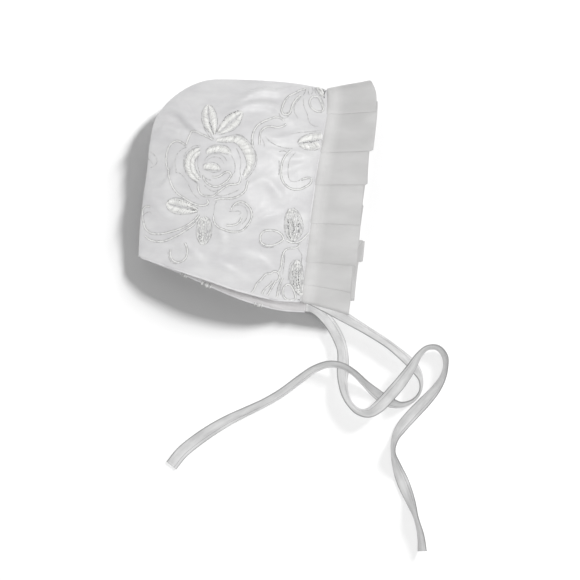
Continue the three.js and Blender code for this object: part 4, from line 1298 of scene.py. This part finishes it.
def knot_hem():
    """Stitches of the resting side's embroidery that go round its hem."""
    knots = Threads()
    chance = np.random.default_rng(KNOT_SEED)
    angle = np.linspace(0, 2 * np.pi, KNOT_POINTS)
    for at, count in HEM_KNOTS:
        drift = chance.uniform(-KNOT_DRIFT, KNOT_DRIFT, count)
        u = 1 - at + KNOT_STEP * np.arange(count) + drift * KNOT_STEP
        v = np.ones_like(u)
        way = inward(left_surface, False, u, v)
        centre = left_surface(u, v) + way * WALL / 2
        along = unit(left_surface(u + SMALL, v) - left_surface(u - SMALL, v))
        side = np.cross(along, way)
        radius = HEM_RADIUS + chance.uniform(*KNOT_HEIGHTS, count)
        turn = np.cos(angle)[:, None] * side[:, None] + np.sin(angle)[:, None] * way[:, None]
        lean = np.linspace(0, KNOT_LEAN, KNOT_POINTS) * chance.uniform(*KNOT_LEANS)
        ring = centre[:, None] + radius[:, None, None] * turn + along[:, None] * lean[:, None]
        wide = np.full(ring.shape[:2], KNOT_RADIUS)
        knots.add(ring, unit(ring - centre[:, None]), wide, wide, KNOT_SIDES)
    return knots.piece("embroidery_hem_stitches", SEED_THREAD, EMBROIDERED)


make_hem("right", right_surface, True)
make_hem("left", left_surface, False)
knot_hem()

# The embroidery.


class Cloth:
    """The outside of a side, on which threads are laid from above, or from below for the resting side."""

    def __init__(self, grid, facing, flatness):
        points = [Vector(p) for p in grid.reshape(-1, 3)]
        self.tree = BVHTree.FromPolygons(points, grid_faces(*grid.shape[:2]).tolist())
        self.facing = facing
        self.flatness = flatness

    def lay(self, flat, lift):
        """Points at a lift over the cloth, the way off it, and which rows found it everywhere."""
        way = Vector((0, 0, -self.facing))
        starts = [Vector((x, y, RAY_START * self.facing)) for x, y in flat.reshape(-1, 2)]
        found = [self.tree.ray_cast(start, way) for start in starts]
        met = np.array([hit is not None for hit, *_ in found])
        points = np.array([hit[:] if hit else (0, 0, 0) for hit, *_ in found])
        normals = np.array([normal[:] if hit else (0, 0, 1) for hit, normal, *_ in found])
        normals *= np.sign(normals[:, 2:] * self.facing)
        points = points + normals * (lift * self.flatness).reshape(-1, 1)
        shape = (*flat.shape[:-1], 3)
        whole = met.reshape(flat.shape[:-1]).all(axis=-1)
        return points.reshape(shape), normals.reshape(shape), whole

    def sew(self, threads, flat, lift, wide, high, sides=6):
        """Lays tubes along rows of places seen from above, apart from rows that leave the cloth."""
        points, normals, whole = self.lay(flat, lift)
        if whole.any():
            thickness = max(self.flatness, LEAST_THICKNESS)
            threads.add(points[whole], normals[whole], wide[whole], high[whole] * thickness, sides)


def tapered(share, ends, power):
    """The width of a stitch along it: a share at its ends, and all of it in its middle."""
    return ends + (1 - ends) * np.sin(np.pi * share).clip(0) ** power


def leaf_lines(rows, shares):
    """A leaf's middle line and its left and right outlines at shares of its length."""
    leaf = Curve(rows)
    here = leaf.along(shares)
    before = leaf.along(np.maximum(shares - LEAF_STEP, 0))
    after = leaf.along(np.minimum(shares + LEAF_STEP, 1))
    way = unit(after[..., :2] - before[..., :2])
    left = np.stack([-way[..., 1], way[..., 0]], -1)
    return here[..., :2], here[..., :2] + left * here[..., 2:3], here[..., :2] - left * here[..., 3:4]


def stitch_across(cloth, threads, starts, ends, chance):
    """Satin stitch: threads side by side, each arched from its start to its end."""
    share = np.linspace(0, 1, THREAD_POINTS)
    way = unit(ends - starts)
    starts = starts - way * chance.uniform(0, RAGGED, (len(starts), 1))
    ends = ends + way * chance.uniform(-RAGGED, RAGGED, (len(ends), 1))
    flat = mix(starts[:, None], ends[:, None], share[:, None])
    width = np.linalg.norm(ends - starts, axis=1)
    arch = (PADDING[0] + PADDING[1] * width) * chance.uniform(*PADDING_SPREAD, len(starts))
    lift = THREAD_RADIUS * THREAD_SUNK + arch[:, None] * tapered(share, 0, PADDING_ROUNDNESS)
    wide = THREAD_RADIUS * tapered(share, *THREAD_TAPER) * chance.uniform(*THREAD_SIZES, (len(starts), 1))
    cloth.sew(threads, flat, lift, wide * THREAD_BREADTH, wide)


def leaf_shares(rows):
    length = Curve(rows).length
    return np.arange(LEAF_ENDS, length - LEAF_ENDS, THREAD_SPACING) / length, length


def satin_leaf(cloth, threads, rows, chance):
    """A leaf in two halves that slant from its vein to its tip."""
    shares, length = leaf_shares(rows)
    middle, _, _ = leaf_lines(rows, shares)
    _, left, right = leaf_lines(rows, np.minimum(1, shares + SLANT / length))
    for outline in (left, right):
        half = outline - middle
        gap = np.minimum(VEIN_GAP, VEIN_SHARE * np.linalg.norm(half, axis=1))
        stitch_across(cloth, threads, middle + unit(half) * gap[:, None], outline, chance)


def satin_petal(cloth, threads, rows, chance):
    shares, length = leaf_shares(rows)
    _, left, _ = leaf_lines(rows, np.minimum(1, shares + SLANT / 2 / length))
    _, _, right = leaf_lines(rows, np.maximum(0, shares - SLANT / 2 / length))
    stitch_across(cloth, threads, right, left, chance)


def sew_row(cloth, threads, line, radius, aside=0, sides=4):
    """A row of stitches along or beside a line, each a little over the end of the one before."""
    curve = Curve(line)
    starts = np.linspace(0, 1, max(2, round(curve.length / STITCH_STEP)) + 1)[:-1]
    share = np.linspace(0, 1, STITCH_POINTS)
    shares = np.minimum(1, starts[:, None] + share * STITCH_LENGTH / curve.length)
    way = curve.tangent(shares)
    flat = curve.along(shares) + np.stack([-way[..., 1], way[..., 0]], -1) * aside
    size = radius * tapered(share, *STITCH_TAPER) * np.ones((len(starts), 1))
    lift = size / 2 + STITCH_ARCH * tapered(share, 0, 1)
    cloth.sew(threads, flat, lift, size, size * CORD_FLATNESS, sides)


def sew_cord(cloth, cords, shades, line):
    """A raised row of white stitches with a fine row of darker stitches close to each side of it, painted
    shade at its sides.
    """
    sew_row(cloth, cords, line, CORD_RADIUS, sides=6)
    for side in (-1, 1):
        sew_row(cloth, shades, line, SHADE_RADIUS, aside=side * (CORD_RADIUS + SHADE_GAP))


def in_lane(rows, shares, lane, drift=0):
    """Places on a leaf at shares of its length, in a lane between its outlines."""
    middle, left, right = leaf_lines(rows, shares)
    return mix(middle, np.where(lane > 0, left, right), np.abs(lane) + drift)


def seeded_leaf(cloth, threads, rows, chance):
    """A leaf filled with short stitches in lanes along it."""
    length = Curve(rows).length
    share = np.linspace(0, 1, STITCH_POINTS)
    for lane in SEED_LANES:
        starts = np.arange(chance.uniform(*SEED_FIRST), length - SEED_LENGTH, SEED_STEP)
        shares = (starts[:, None] + share * SEED_LENGTH) / length
        flat = in_lane(rows, shares, lane, chance.uniform(-LANE_SPREAD, LANE_SPREAD))
        flat = flat + chance.uniform(-SEED_SPREAD, SEED_SPREAD, (len(starts), 1, 2))
        every = np.ones((len(starts), 1))
        lift = THREAD_RADIUS + SEED_ARCH * tapered(share, 0, 1) * every
        wide = THREAD_RADIUS * SEED_BREADTH * tapered(share, *SEED_TAPER) * every
        cloth.sew(threads, flat, lift, wide, wide)


# A fine grey row just outside each outline of a leaf: painted shade at the foot of its raised stitches.
def outline_leaf(cloth, shades, rows):
    shares = np.linspace(*OUTLINE_SPAN, OUTLINE_POINTS)
    middle, left, right = leaf_lines(rows, shares)
    for outline in (left, right):
        sew_row(cloth, shades, outline + unit(outline - middle) * OUTLINE_GAP, OUTLINE_RADIUS)


def leave_gaps(cloth, threads, chance):
    """Short dark stitches, painted shade which stands for the gaps that show between the others."""
    leaves = {**SATIN_LEAVES, **SEEDED_LEAVES}
    share = np.linspace(0, 1, STITCH_POINTS)
    for leaf, lane, first, last in GAP_SHADE_ROWS:
        length = Curve(leaves[leaf]).length
        starts = np.arange(first * length, last * length, GAP_STEP) / length
        every = (len(starts), 1)
        starts = starts + chance.uniform(-GAP_DRIFT, GAP_DRIFT, len(starts)) * GAP_STEP / length
        shares = starts[:, None] + share * chance.uniform(*GAP_LENGTHS, every) * GAP_LENGTH / length
        flat = in_lane(leaves[leaf], shares, lane)
        flat = flat + chance.uniform(-GAP_SPREAD, GAP_SPREAD, (*every, 2))
        wide = GAP_RADIUS * tapered(share, *GAP_TAPER) * np.ones(every)
        cloth.sew(threads, flat, np.full(wide.shape, GAP_LIFT), wide, wide)


def speckle(cloth, threads, rows, chance):
    """Small dark marks scattered over satin stitch, painted shade where its threads part."""
    length = Curve(rows).length
    count = int(length * SPECKS)
    share = np.linspace(0, 1, SPECK_POINTS)
    shares = chance.uniform(*SPECK_SPAN, (count, 1)) + share * SPECK_LENGTH / length
    flat = in_lane(rows, shares, chance.uniform(-SPECK_LANE, SPECK_LANE, (count, 1, 1)))
    wide = SPECK_RADIUS * chance.uniform(*SPECK_SIZES, (count, 1)) * np.ones(SPECK_POINTS)
    cloth.sew(threads, flat, np.full(wide.shape, SPECK_LIFT), wide, wide, sides=4)


def embroider(side, cloth):
    chance = np.random.default_rng(EMBROIDERY_SEED)
    satin, seeds, gaps, cords, shades = (Threads() for _ in STITCHES)
    for rows in SATIN_LEAVES.values():
        satin_leaf(cloth, satin, rows, chance)
        outline_leaf(cloth, shades, rows)
        # A grey row along the vein, painted shade between the leaf's two raised halves.
        sew_row(cloth, shades, [row[:2] for row in rows], SHADE_RADIUS)
        speckle(cloth, shades, rows, chance)
    for rows in SATIN_PETALS.values():
        satin_petal(cloth, satin, rows, chance)
        outline_leaf(cloth, shades, rows)
        speckle(cloth, shades, rows, chance)
    for rows in SEEDED_LEAVES.values():
        seeded_leaf(cloth, seeds, rows, chance)
        outline_leaf(cloth, shades, rows)
    leave_gaps(cloth, gaps, chance)
    # The notches are painted shade in the gaps at the ends of the face edge.
    for line in NOTCHES.values():
        sew_row(cloth, gaps, line, GAP_RADIUS, sides=6)
    for line in CORDS.values():
        sew_cord(cloth, cords, shades, line)
    for line in FINE_LINES.values():
        sew_row(cloth, shades, line, OUTLINE_RADIUS)
    materials = (WHITE_THREAD, SEED_THREAD, GAP_SHADE_THREAD, CORD_THREAD, SHADE_THREAD)
    for kind, threads, material in zip(STITCHES, (satin, seeds, gaps, cords, shades), materials):
        threads.piece(f"embroidery_{kind}_{side}", material, EMBROIDERED)


embroider("right", Cloth(right_shown, 1, 1.0))
embroider("left", Cloth(left_shown, -1, FLATTENED))

# The cloth as it was cut.
for name, width, length, area, held, below, side in CUTS:
    sewn_on = [f"neck_hem_{side}", *(f"embroidery_{kind}_{side}" for kind in STITCHES)] if side else []
    if side == "left":
        sewn_on.append("embroidery_hem_stitches")

# The floor, the light and the finish.


def make_floor():
    material, tree, shader = new_material("floor", FLOOR_COLOR, roughness=1.0, specular=0.0)
    half = FLOOR_SIZE / 2 / MM
    corners = np.array([(-half, -half, 0), (half, -half, 0), (half, half, 0), (-half, half, 0)])
    floor = make("floor", corners, [(0, 1, 2, 3)], material, smooth=False)
    floor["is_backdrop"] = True
    return floor


def group(name, pieces):
    chosen = bpy.data.collections.new(name)
    for piece in pieces:
        chosen.objects.link(piece)
    return chosen


def sun(name, lit, shading=None):
    """A light that falls on some pieces only, with the shadows of all pieces or of some."""
    strength, softness, azimuth, elevation = SUNS[name]
    azimuth, elevation = np.radians(azimuth), np.radians(elevation)
    level = np.cos(elevation)
    way = Vector((np.cos(azimuth) * level, np.sin(azimuth) * level, np.sin(elevation)))
    data = bpy.data.lights.new(name, "SUN")
    data.energy = strength
    data.angle = np.radians(softness)
    light = bpy.data.objects.new(name, data)
    light.rotation_euler = way.to_track_quat("Z", "Y").to_euler()
    bpy.context.scene.collection.objects.link(light)
    light.light_linking.receiver_collection = group(f"lit by the {name}", lit)
    if shading:
        light.light_linking.blocker_collection = group(f"shading the {name}", shading)


floor = make_floor()
ties = [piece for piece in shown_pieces() if piece.name.startswith("ribbon")]
bonnet = [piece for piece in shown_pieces() if piece not in ties]
sun("floor key", [floor], bonnet)
sun("soft floor key", [floor])
sun("cloth key", bonnet)
sun("key of the ties", ties, [floor])

world = bpy.data.worlds.new("studio")
world.use_nodes = True
world.node_tree.nodes["Background"].inputs["Color"].default_value = (1, 1, 1, 1)
world.node_tree.nodes["Background"].inputs["Strength"].default_value = WORLD_STRENGTH
bpy.context.scene.world = world
bpy.context.scene.view_settings.view_transform = "Standard"
bpy.context.scene.cycles.use_denoising = True
